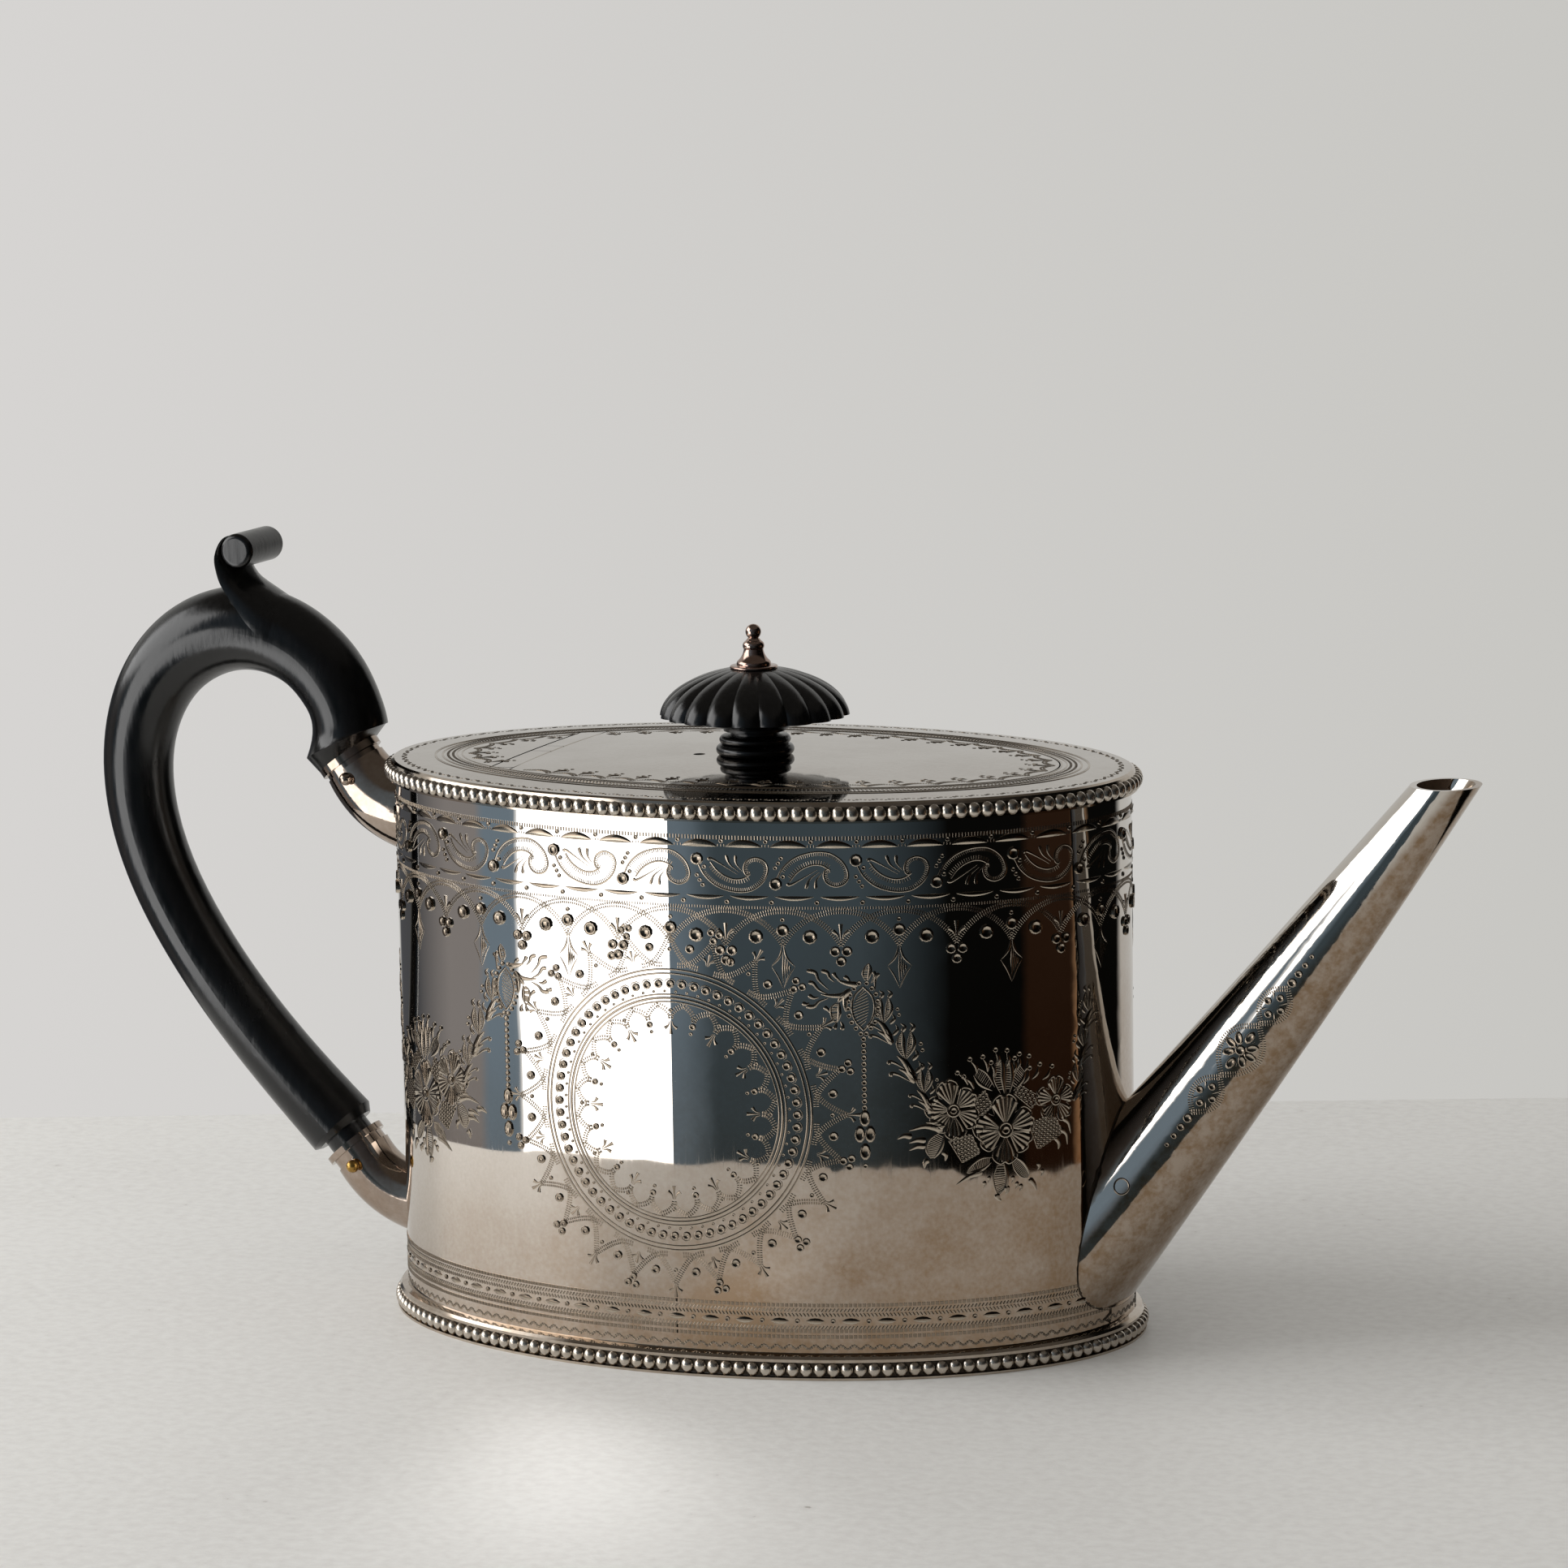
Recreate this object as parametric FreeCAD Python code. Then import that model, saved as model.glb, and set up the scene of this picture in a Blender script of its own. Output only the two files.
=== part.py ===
import FreeCAD, Part
import math
import os

# Oval drum teapot in silver, with a carved ebony loop handle and a lobed ebony knob on a flush, hinged lid.
# Millimetres. The origin is on the table under the drum's middle, +X points to the spout and +Z is up.
# A "spread" is a distance out from the drum's wall: an oval of spread 2 is the wall's oval grown by 2.

V = FreeCAD.Vector

# Drum and its top plate
DRUM_A = 73.0
DRUM_B = 48.3
WALL = 0.9
WALL_FOOT_Z = 1.2
BASE_LOW, BASE_HIGH = 2.2, 3.1
RIM_Z = 108.1
CROWN = 1.2
PLATE = 1.2

# Mouldings, each an outline of (height, spread) from below
FOOT_STEPS = ((0.0, 2.25), (0.45, 2.25), (0.5, 1.2), (3.15, 1.2), (3.25, 1.7), (3.8, 1.75), (4.3, 1.35), (4.6, 0.3))
RIM_STEPS = ((104.2, 0.5), (104.35, 1.35), (104.75, 1.35), (104.8, 0.9), (107.3, 0.9), (107.8, 0.65), (108.1, 0.1))

# Beaded wires
BEADS = 156
BEAD_WIDTH, BEAD_HEIGHT = 2.15, 2.6
BEAD_CROWN = 0.55
FOOT_BEAD_Z, FOOT_BEAD_SEAT, FOOT_BEAD_OUT = 1.83, 1.2, 2.65
RIM_BEAD_Z, RIM_BEAD_SEAT, RIM_BEAD_OUT = 106.05, 0.9, 2.2
BEAD_STRIP, BEAD_STRIP_HEIGHT = 0.2, 2.4

# Lid, its seat and its flange
LID_SPREAD = -13.7
LID_GAP = 0.3
SEAT_LEDGE, SEAT_OUTSIDE, SEAT_THICK, SEAT_DROP = 1.6, 2.4, 1.2, 0.3
FLANGE_IN, FLANGE_THICK, FLANGE_LOW = 2.2, 0.9, 104.2
VENT_X, VENT_Y, VENT_R = -11.1, -2.6, 1.15

# Flush hinge: a flat-topped barrel in three knuckles
HINGE_X = -43.4
HINGE_DROP = 2.0
KNUCKLE_R = 2.8
PLATE_TROUGH_R, LID_TROUGH_R = 3.15, 3.05
HINGE_HALF = 23.0
LID_START = 2.5
MID_LOW, MID_HIGH = -3.7, 2.6
KNUCKLE_GAP = 0.2
HINGE_PIN_R, RUNNING = 0.9, 0.05
LEAF_THICK, LEAF_REACH, LEAF_HALF = 1.0, 9.4, 20.0

# Spout: level ovals as (height, inner side x, outer side x, half width)
SPOUT_LEVELS = ((4.0, 35.5, 70.8, 22.3), (40.0, 67.7, 95.7, 11.4), (108.7, 128.0, 141.1, 7.9))
SPOUT_WALL = 1.0
SPOUT_LEVEL_WALL = 1.25
STRAINER_Z, STRAINER_PITCH, STRAINER_R = 23.0, 4.6, 1.2

# Handle: stations of (x, radius, z) from the upper end, round the loop, to the lower end
HANDLE_LINE = (
    (-85.7, 7.4, 112.8), (-87.6, 7.3, 118.2), (-91.8, 7.4, 124.0), (-107.2, 8.3, 130.5), (-123.1, 7.9, 124.0),
    (-131.3, 7.1, 109.0), (-130.8, 6.8, 90.5), (-120.6, 6.7, 67.7), (-104.0, 6.8, 46.0), (-89.8, 7.2, 31.2))
HANDLE_SECTIONS = 22
TOE_X, TOE_Z, TOE_R, TOE_HEADING = -86.3, 108.9, 8.7, (-0.43, 0.903)
HEEL, HEEL_R = 0.8, 6.1
TENON_R, TENON_DEPTH = 4.7, 10.0

# Thumb scroll on the crown of the handle: a roll, and a tongue as (back x, z, front x, z, half width) from roll to loop
ROLL_X, ROLL_Z, ROLL_R, ROLL_HALF, ROLL_EDGE = -105.6, 146.55, 3.4, 7.7, 1.0
TONGUE = (
    (-105.6, 149.4, -105.5, 148.3, 7.0), (-108.9, 148.6, -107.8, 147.7, 7.1), (-110.3, 146.2, -108.4, 146.0, 7.0),
    (-110.6, 142.8, -106.4, 142.3, 6.6), (-110.0, 140.6, -105.0, 140.8, 6.6), (-108.7, 138.5, -102.8, 139.4, 6.9),
    (-106.2, 135.5, -99.9, 137.7, 7.5), (-103.0, 131.75, -97.3, 136.1, 8.1), (-97.5, 127.5, -94.0, 134.2, 7.6),
    (-91.8, 124.0, -87.9, 129.2, 6.6))
TONGUE_SECTIONS = 26

# Handle sockets: mouth centre, direction into the drum, neck, then a swelling body that runs into the wall
UPPER_SOCKET = dict(mouth=(-86.1, 106.1), into=(0.582, -0.813), lip_r=6.65, lip=1.5, neck_r=5.9, neck=2.6,
                    swell=(-79.9, 98.7), swell_into=(0.83, -0.56), swell_r=7.0, root_z=95.4, root=(7.0, 9.0))
LOWER_SOCKET = dict(mouth=(-87.3, 28.4), into=(0.642, -0.767), lip_r=6.4, lip=1.3, neck_r=5.6, neck=3.2,
                    swell=(-80.2, 20.5), swell_into=(0.85, -0.52), swell_r=6.1, root_z=17.2, root=(6.2, 7.3))
SOCKET_SHOULDER = 0.35
SOCKET_ROOT_X = -69.0
SOCKET_PIN_DEPTH, SOCKET_PIN_R, SOCKET_PIN_HALF, SOCKET_PIN_HEAD = 4.6, 0.8, 7.4, 1.3

# Knob and finial, turned about a vertical axis
KNOB_X = -0.6
LOBES, LOBE_TURN = 20, 5.7
CAP_LEVELS = ((117.0, 18.25, 1.0), (119.2, 17.5, 0.95), (121.8, 15.2, 0.8), (124.0, 11.4, 0.6), (125.4, 7.2, 0.35),
              (125.9, 4.6, 0.15))
FINIAL_HIGH, BALL_R, BALL_NECK_R = 8.5, 1.5, 1.0
SHANK_R, SHANK_HOLE_R, SHANK_LOW = 1.5, 1.6, 103.9
WASHER_R, WASHER_THICK = 5.0, 0.8
NUT_R, NUT_THICK = 3.4, 2.2

DOME_R = (DRUM_A ** 2 + CROWN ** 2) / (2 * CROWN)
DOME_REACH = DRUM_A + 3.0
DOME_FLOOR = 0.0
ABOVE = 130.0
Y_AXIS = V(0, 1, 0)


def dome_z(x, y):
    """Height of the top plate's domed face."""
    radius = math.hypot(x, y * DRUM_A / DRUM_B)
    return RIM_Z + CROWN - DOME_R + math.sqrt(DOME_R ** 2 - radius ** 2)


HINGE_Z = dome_z(HINGE_X, 0) - HINGE_DROP


def oval_wire(spread, z):
    """Oval in two halves, so that its seams stay clear of spout and handle."""
    oval = Part.Ellipse(V(0, 0, z), DRUM_A + spread, DRUM_B + spread)
    halves = []
    for start in (-math.pi / 2, math.pi / 2):
        halves.append(Part.ArcOfEllipse(oval, start, start + math.pi).toShape())
    return Part.Wire(halves)


def oval_block(spread, low, high):
    return Part.Face(oval_wire(spread, low)).extrude(V(0, 0, high - low))


def oval_ring(inner, outer, low, high):
    return oval_block(outer, low, high).cut(oval_block(inner, low - 1, high + 1))


def oval_moulding(steps):
    """A moulding laid round the wall, from its (height, spread) outline."""
    body = Part.makeLoft([oval_wire(spread, z) for z, spread in steps], True, True)
    return body.cut(oval_block(0, steps[0][0] - 1, steps[-1][0] + 1))


def box(x0, x1, y0, y1, z0, z1):
    return Part.makeBox(x1 - x0, y1 - y0, z1 - z0, V(x0, y0, z0))


def outline(start, *steps):
    """Closed face in the XZ plane: a step is a point, or a middle and an end point of an arc."""
    here = V(start[0], 0, start[1])
    first = here
    edges = []
    for step in steps:
        if isinstance(step[0], tuple):
            middle, end = (V(p[0], 0, p[1]) for p in step)
            edges.append(Part.Arc(here, middle, end).toShape())
        else:
            end = V(step[0], 0, step[1])
            edges.append(Part.LineSegment(here, end).toShape())
        here = end
    edges.append(Part.LineSegment(here, first).toShape())
    return Part.Face(Part.Wire(edges))


def turned(face, x=0.0):
    solid = face.revolve(V(0, 0, 0), V(0, 0, 1), 360)
    solid.translate(V(x, 0, 0))
    return solid


def under_dome(drop):
    """Everything below the top plate's domed face, lowered by drop."""
    top = [(r, dome_z(r, 0) - drop) for r in (0.0, DOME_REACH / 2, DOME_REACH)]
    face = outline((0.0, DOME_FLOOR), top[0], (top[1], top[2]), (DOME_REACH, DOME_FLOOR))
    squeeze = FreeCAD.Matrix()
    squeeze.scale(1.0, DRUM_B / DRUM_A, 1.0)
    return turned(face).transformGeometry(squeeze)


def dome_shell(top_drop, low_drop):
    return under_dome(top_drop).cut(under_dome(low_drop))


def section(centre, across, up, flat_back=False):
    """Oval wire about a centre, with two half axes as vectors, or only its upper half closed by a flat back."""
    upper = Part.Arc(V(1, 0, 0), V(0, 1, 0), V(-1, 0, 0)).toShape()
    if flat_back:
        lower = Part.LineSegment(V(-1, 0, 0), V(1, 0, 0)).toShape()
    else:
        lower = Part.Arc(V(-1, 0, 0), V(0, -1, 0), V(1, 0, 0)).toShape()
    out = across.cross(up)
    place = FreeCAD.Matrix(across.x, up.x, out.x, centre.x, across.y, up.y, out.y, centre.y,
                           across.z, up.z, out.z, centre.z, 0, 0, 0, 1)
    return Part.Wire([upper, lower]).transformGeometry(place)


def round_section(x, z, heading, radius):
    """Round section at a point of the XZ plane, square to a heading (x, z)."""
    length = math.hypot(*heading)
    up = V(-heading[1] / length, 0, heading[0] / length)
    return section(V(x, 0, z), Y_AXIS * radius, up * radius)


def rod_y(x, z, radius, low, high):
    return Part.makeCylinder(radius, high - low, V(x, low, z), Y_AXIS)


def hinge_rod(radius, low, high):
    return rod_y(HINGE_X, HINGE_Z, radius, low, high)


# Drum


def strainer_holes():
    """Hexagon of eight-sided holes through the wall behind the spout's root."""
    holes = []
    for row in range(-2, 3):
        count = 5 - abs(row)
        for k in range(count):
            y = (k - (count - 1) / 2) * STRAINER_PITCH
            z = STRAINER_Z + row * STRAINER_PITCH * math.sqrt(3) / 2
            corners = []
            for turn in range(9):
                angle = math.radians(45 * turn + 22.5)
                corners.append(V(DRUM_A - 5, y + STRAINER_R * math.cos(angle), z + STRAINER_R * math.sin(angle)))
            holes.append(Part.Face(Part.makePolygon(corners)).extrude(V(10, 0, 0)))
    return holes


def body_wall():
    return oval_ring(-WALL, 0, WALL_FOOT_Z, RIM_Z - PLATE).cut(strainer_holes())


def base_plate():
    return oval_block(-WALL, BASE_LOW, BASE_HIGH)


def beading(z, seat, out):
    """Thin strip round an oval with one faceted bead at every step."""
    half = BEAD_STRIP_HEIGHT / 2
    strip = oval_ring(seat, seat + BEAD_STRIP, z - half, z + half)
    a, b = DRUM_A + seat, DRUM_B + seat
    places = oval_wire(seat, z).discretize(BEADS + 1)[:-1]
    beads = []
    for place in places:
        outward = V(place.x / a ** 2, place.y / b ** 2, 0).normalize()
        along = V(0, 0, 1).cross(outward)
        hexagons = []
        for depth, size in ((BEAD_STRIP / 2, 1.0), (out - seat, BEAD_CROWN)):
            points = []
            for k in range(7):
                angle = math.radians(60 * k)
                side = along * (BEAD_WIDTH / 2 * size * math.cos(angle))
                rise = V(0, 0, BEAD_HEIGHT / 2 * size * math.sin(angle))
                points.append(place + outward * depth + side + rise)
            hexagons.append(Part.makePolygon(points))
        beads.append(Part.makeLoft(hexagons, True, True))
    return strip.fuse(beads)


def top_plate():
    plate = dome_shell(0, PLATE).common(oval_block(0, DOME_FLOOR, ABOVE))
    mouth = oval_block(LID_SPREAD + LID_GAP, DOME_FLOOR, ABOVE)
    mouth = mouth.common(box(HINGE_X + LID_START - LID_GAP, DRUM_A, -DRUM_B, DRUM_B, DOME_FLOOR, ABOVE))
    trough = hinge_rod(PLATE_TROUGH_R, -HINGE_HALF - LID_GAP, HINGE_HALF + LID_GAP)
    return plate.cut([mouth, trough])


def lid_seat():
    """Ledge soldered under the plate's mouth, just clear of the closed lid."""
    mouth = LID_SPREAD + LID_GAP
    outside = dome_shell(PLATE, PLATE + SEAT_THICK).common(oval_ring(mouth, mouth + SEAT_OUTSIDE, DOME_FLOOR, ABOVE))
    ledge = dome_shell(PLATE + SEAT_DROP, PLATE + SEAT_THICK)
    ledge = ledge.common(oval_ring(LID_SPREAD - SEAT_LEDGE, mouth, DOME_FLOOR, ABOVE))
    clear_x = HINGE_X + KNUCKLE_R + 1.5
    return outside.fuse(ledge).cut(box(-DRUM_A, clear_x, -DRUM_B, DRUM_B, DOME_FLOOR, ABOVE)).removeSplitter()


# Lid and hinge


def lid_plate():
    plate = dome_shell(0, PLATE).common(oval_block(LID_SPREAD, DOME_FLOOR, ABOVE))
    plate = plate.common(box(HINGE_X + LID_START, DRUM_A, -DRUM_B, DRUM_B, DOME_FLOOR, ABOVE))
    trough = hinge_rod(LID_TROUGH_R, -DRUM_B, DRUM_B)
    vent = Part.makeCylinder(VENT_R, ABOVE, V(VENT_X, VENT_Y, 0))
    shank = Part.makeCylinder(SHANK_HOLE_R, ABOVE, V(KNOB_X, 0, 0))
    return plate.cut([trough, vent, shank])


def lid_flange():
    outer = LID_SPREAD - FLANGE_IN
    ring = oval_ring(outer - FLANGE_THICK, outer, FLANGE_LOW, ABOVE).common(under_dome(PLATE))
    return ring.cut(box(-DRUM_A, HINGE_X + KNUCKLE_R + 2.0, -DRUM_B, DRUM_B, DOME_FLOOR, ABOVE))


def hinge_leaf(knuckles, side, trough, bore):
    """Knuckles with a leaf under the plate on one side of the barrel, each tied to it by a tongue."""
    sheet = dome_shell(PLATE, PLATE + LEAF_THICK)
    near, far = HINGE_X + side * (trough + 0.1), HINGE_X + side * LEAF_REACH
    leaf = sheet.common(box(min(near, far), max(near, far), -LEAF_HALF, LEAF_HALF, DOME_FLOOR, ABOVE))
    deep = HINGE_X + side * (trough + 1.0)
    pieces = []
    for low, high in knuckles:
        pieces.append(hinge_rod(KNUCKLE_R, low, high).common(under_dome(0)))
        tongue_low, tongue_high = max(low, -LEAF_HALF), min(high, LEAF_HALF)
        pieces.append(sheet.common(box(min(HINGE_X, deep), max(HINGE_X, deep), tongue_low, tongue_high,
                                       DOME_FLOOR, ABOVE)))
    return leaf.fuse(pieces).cut(hinge_rod(bore, -DRUM_B, DRUM_B)).removeSplitter()


def hinge_body_leaf():
    return hinge_leaf([(MID_LOW, MID_HIGH)], -1, PLATE_TROUGH_R, HINGE_PIN_R + RUNNING)


def hinge_lid_leaf():
    knuckles = [(-HINGE_HALF, MID_LOW - KNUCKLE_GAP), (MID_HIGH + KNUCKLE_GAP, HINGE_HALF)]
    return hinge_leaf(knuckles, 1, LID_TROUGH_R, HINGE_PIN_R)


def hinge_pin():
    return hinge_rod(HINGE_PIN_R, -HINGE_HALF, HINGE_HALF)


# Spout


def spout_body(level_wall, wall):
    levels = []
    for z, inner, outer, half in SPOUT_LEVELS:
        centre = V((inner + outer) / 2, 0, z)
        levels.append(section(centre, V((outer - inner) / 2 - level_wall, 0, 0), Y_AXIS * (half - wall)))
    return Part.makeLoft(levels, True, False)


def spout():
    shell = spout_body(0, 0).cut(spout_body(SPOUT_LEVEL_WALL, SPOUT_WALL))
    return shell.cut(oval_block(0, 0, ABOVE))


# Handle and its sockets


def along(spot, depth):
    """Point (x, z) on a socket's axis, a depth in from its mouth."""
    return spot["mouth"][0] + spot["into"][0] * depth, spot["mouth"][1] + spot["into"][1] * depth


def socket_rod(spot, radius, low, high):
    x, z = along(spot, low)
    return Part.makeCylinder(radius, high - low, V(x, 0, z), V(spot["into"][0], 0, spot["into"][1]))


def socket(spot):
    neck_x, neck_z = along(spot, spot["neck"])
    sections = [
        round_section(neck_x, neck_z, spot["into"], spot["neck_r"] + SOCKET_SHOULDER),
        round_section(*spot["swell"], spot["swell_into"], spot["swell_r"]),
        section(V(SOCKET_ROOT_X, 0, spot["root_z"]), Y_AXIS * spot["root"][0], V(0, 0, spot["root"][1]))]
    body = Part.makeLoft(sections, True, False).fuse(socket_rod(spot, spot["neck_r"], 0, spot["neck"] + 2))
    pin_x, pin_z = along(spot, SOCKET_PIN_DEPTH)
    hole = rod_y(pin_x, pin_z, SOCKET_PIN_R, -DRUM_B, DRUM_B)
    return body.cut([oval_block(0, 0, ABOVE), socket_rod(spot, TENON_R, -1, TENON_DEPTH), hole])


def socket_collar(spot):
    lip = socket_rod(spot, spot["lip_r"], 0, spot["lip"])
    return lip.cut(socket_rod(spot, spot["neck_r"], -1, spot["lip"] + 1))


def socket_pin(spot):
    """Cross pin through socket and tenon, with a domed head at each end."""
    x, z = along(spot, SOCKET_PIN_DEPTH)
    pin = rod_y(x, z, SOCKET_PIN_R, -SOCKET_PIN_HALF, SOCKET_PIN_HALF)
    heads = []
    for side in (-1, 1):
        head = Part.makeSphere(SOCKET_PIN_HEAD, V(x, side * SOCKET_PIN_HALF, z))
        heads.append(head)
    return pin.fuse(heads)


def thumb_scroll():
    """Tongue that rises from the handle's crown, flat at the back, and curls over into a roll."""
    backs = [V(back_x, half, back_z) for back_x, back_z, _, _, half in TONGUE]
    fronts = [V(front_x, 0, front_z) for _, _, front_x, front_z, _ in TONGUE]
    reach = [0.0]
    for k in range(1, len(TONGUE)):
        reach.append(reach[-1] + backs[k].distanceToPoint(backs[k - 1]) + fronts[k].distanceToPoint(fronts[k - 1]))
    back_line, front_line = Part.BSplineCurve(), Part.BSplineCurve()
    back_line.interpolate(Points=backs, Parameters=reach)
    front_line.interpolate(Points=fronts, Parameters=reach)
    sections = []
    for k in range(TONGUE_SECTIONS):
        t = reach[-1] * k / (TONGUE_SECTIONS - 1)
        back, front = back_line.value(t), front_line.value(t)
        centre = V(back.x, 0, back.z)
        sections.append(section(centre, Y_AXIS * back.y, front - centre, True))
    roll = rod_y(ROLL_X, ROLL_Z, ROLL_R, -ROLL_HALF, ROLL_HALF)
    roll = roll.makeFillet(ROLL_EDGE, [edge for edge in roll.Edges if edge.isClosed()])
    return Part.makeLoft(sections, True, False).fuse(roll)


def skinned(*runs):
    """Solid from runs of sections: each run is (sections, straight), and runs share their end sections."""
    faces = [Part.Face(runs[0][0][0]), Part.Face(runs[-1][0][-1])]
    for sections, straight in runs:
        faces += Part.makeLoft(sections, False, straight).Faces
    shell = Part.makeShell(faces)
    shell.sewShape()
    return Part.makeSolid(shell)


def handle_sections():
    line = Part.BSplineCurve()
    line.interpolate([V(*station) for station in HANDLE_LINE])
    sections = [round_section(TOE_X, TOE_Z, TOE_HEADING, TOE_R)]
    for k in range(HANDLE_SECTIONS):
        t = line.FirstParameter + (line.LastParameter - line.FirstParameter) * k / (HANDLE_SECTIONS - 1)
        spot, heading = line.value(t), line.tangent(t)[0]
        sections.append(round_section(spot.x, spot.z, (heading.x, heading.z), spot.y))
    return sections


def handle():
    """Carved loop with a flared toe at the upper socket, a rounded heel at the lower one and a tenon in each."""
    up, low = UPPER_SOCKET, LOWER_SOCKET
    loop = handle_sections()
    toe = [round_section(*up["mouth"], (-up["into"][0], -up["into"][1]), up["lip_r"]), loop[0]]
    end_x, end_z = HANDLE_LINE[-1][0], HANDLE_LINE[-1][2]
    heel = [loop[-1], round_section(end_x + HEEL, end_z - HEEL, low["into"], HEEL_R)]
    body = skinned((toe, True), (loop, False), (heel, True))
    gap = math.hypot(end_x - low["mouth"][0], end_z - low["mouth"][1])
    tenons = [socket_rod(up, TENON_R, -2, TENON_DEPTH), socket_rod(low, TENON_R, -gap - 2, TENON_DEPTH)]
    body = body.fuse([thumb_scroll()] + tenons)
    holes = [rod_y(*along(spot, SOCKET_PIN_DEPTH), SOCKET_PIN_R, -DRUM_B, DRUM_B) for spot in (up, low)]
    return body.cut(holes)


# Knob


def lobed_wire(z, radius, depth):
    """Ring of arcs that swell between valleys a depth inside the radius."""
    step = 2 * math.pi / LOBES

    def spot(r, angle):
        return V(KNOB_X + r * math.cos(angle), r * math.sin(angle), z)

    arcs = []
    for k in range(LOBES):
        start = k * step + math.radians(LOBE_TURN)
        arcs.append(Part.Arc(spot(radius - depth, start), spot(radius, start + step / 2),
                             spot(radius - depth, start + step)).toShape())
    return Part.Wire(arcs)


def knob():
    seat = dome_z(KNOB_X, 0)
    rim = CAP_LEVELS[0][0]
    stem = outline((SHANK_HOLE_R, seat), (6.6, seat), ((7.5, seat + 1.05), (6.6, seat + 2.1)), (6.3, seat + 2.2),
                   ((6.85, seat + 3.1), (6.2, seat + 3.8)), (4.7, seat + 4.0), (4.7, seat + 4.4), (6.0, seat + 4.7),
                   (6.0, seat + 5.2), (16.8, rim - 0.1), (16.8, rim), (SHANK_HOLE_R, rim))
    cap = Part.makeLoft([lobed_wire(*level) for level in CAP_LEVELS], True, False)
    shank = Part.makeCylinder(SHANK_HOLE_R, ABOVE, V(KNOB_X, 0, 0))
    return cap.fuse(turned(stem, KNOB_X)).cut(shank)


def knob_finial():
    """Silver finial with the shank that bolts the knob to the lid."""
    top = CAP_LEVELS[-1][0]
    ball_z = top + FINIAL_HIGH - BALL_R
    face = outline((0, SHANK_LOW), (SHANK_R, SHANK_LOW), (SHANK_R, top), (4.4, top), ((4.6, top + 0.3), (4.3, top + 0.6)),
                   (3.3, top + 0.7), ((3.25, top + 1.2), (2.95, top + 1.6)), ((2.2, top + 2.6), (1.87, top + 3.7)),
                   ((2.07, top + 4.5), (1.5, top + 5.3)), (BALL_NECK_R, ball_z - math.sqrt(BALL_R ** 2 - BALL_NECK_R ** 2)),
                   ((BALL_R, ball_z), (0, ball_z + BALL_R)))
    return turned(face, KNOB_X)


def knob_washer():
    top = dome_z(WASHER_R, 0) - PLATE - 0.02
    washer = Part.makeCylinder(WASHER_R, WASHER_THICK, V(KNOB_X, 0, top - WASHER_THICK))
    return washer.cut(Part.makeCylinder(SHANK_R, ABOVE, V(KNOB_X, 0, 0)))


def knob_nut():
    top = dome_z(WASHER_R, 0) - PLATE - 0.02 - WASHER_THICK
    corners = []
    for k in range(7):
        angle = math.radians(60 * k)
        corners.append(V(KNOB_X + NUT_R * math.cos(angle), NUT_R * math.sin(angle), top - NUT_THICK))
    nut = Part.Face(Part.makePolygon(corners)).extrude(V(0, 0, NUT_THICK))
    return nut.cut(Part.makeCylinder(SHANK_R, ABOVE, V(KNOB_X, 0, 0)))


PIECES = {
    "body_wall": body_wall,
    "base_plate": base_plate,
    "foot_rim": lambda: oval_moulding(FOOT_STEPS),
    "foot_beading": lambda: beading(FOOT_BEAD_Z, FOOT_BEAD_SEAT, FOOT_BEAD_OUT),
    "top_plate": top_plate,
    "top_rim": lambda: oval_moulding(RIM_STEPS),
    "top_beading": lambda: beading(RIM_BEAD_Z, RIM_BEAD_SEAT, RIM_BEAD_OUT),
    "lid_seat": lid_seat,
    "spout": spout,
    "upper_socket": lambda: socket(UPPER_SOCKET),
    "upper_socket_collar": lambda: socket_collar(UPPER_SOCKET),
    "upper_handle_pin": lambda: socket_pin(UPPER_SOCKET),
    "lower_socket": lambda: socket(LOWER_SOCKET),
    "lower_socket_collar": lambda: socket_collar(LOWER_SOCKET),
    "lower_handle_pin": lambda: socket_pin(LOWER_SOCKET),
    "handle": handle,
    "hinge_body_leaf": hinge_body_leaf,
    "hinge_pin": hinge_pin,
    "hinge_lid_leaf": hinge_lid_leaf,
    "lid_plate": lid_plate,
    "lid_flange": lid_flange,
    "knob": knob,
    "knob_finial": knob_finial,
    "knob_washer": knob_washer,
    "knob_nut": knob_nut,
}

os.makedirs("parts", exist_ok=True)
for name, make in PIECES.items():
    shape = make()
    print(name, shape.ShapeType, "solids", len(shape.Solids), "valid", shape.isValid(), "cm3",
          round(shape.Volume / 1000, 2), flush=True)
    shape.exportStep("parts/" + name + ".step")
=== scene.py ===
import cmath
import math

import bmesh
import bpy
import numpy as np
from mathutils import Matrix, Vector
from mathutils.bvhtree import BVHTree


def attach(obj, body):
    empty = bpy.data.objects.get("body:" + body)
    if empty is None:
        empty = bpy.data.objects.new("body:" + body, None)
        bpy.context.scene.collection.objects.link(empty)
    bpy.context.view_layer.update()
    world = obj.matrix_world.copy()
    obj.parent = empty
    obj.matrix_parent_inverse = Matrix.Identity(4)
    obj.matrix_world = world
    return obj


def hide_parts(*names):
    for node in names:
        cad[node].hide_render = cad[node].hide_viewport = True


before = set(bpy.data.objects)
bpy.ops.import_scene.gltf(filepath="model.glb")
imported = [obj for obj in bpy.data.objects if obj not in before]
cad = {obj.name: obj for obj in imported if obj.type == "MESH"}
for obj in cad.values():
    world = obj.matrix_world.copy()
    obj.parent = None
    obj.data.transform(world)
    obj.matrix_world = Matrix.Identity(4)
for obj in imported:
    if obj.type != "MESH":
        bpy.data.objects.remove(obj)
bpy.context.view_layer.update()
scene = bpy.context.scene

# Sizes are in millimetres until a piece is laid in the frame, which is in metres.
MM = 0.001
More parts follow.
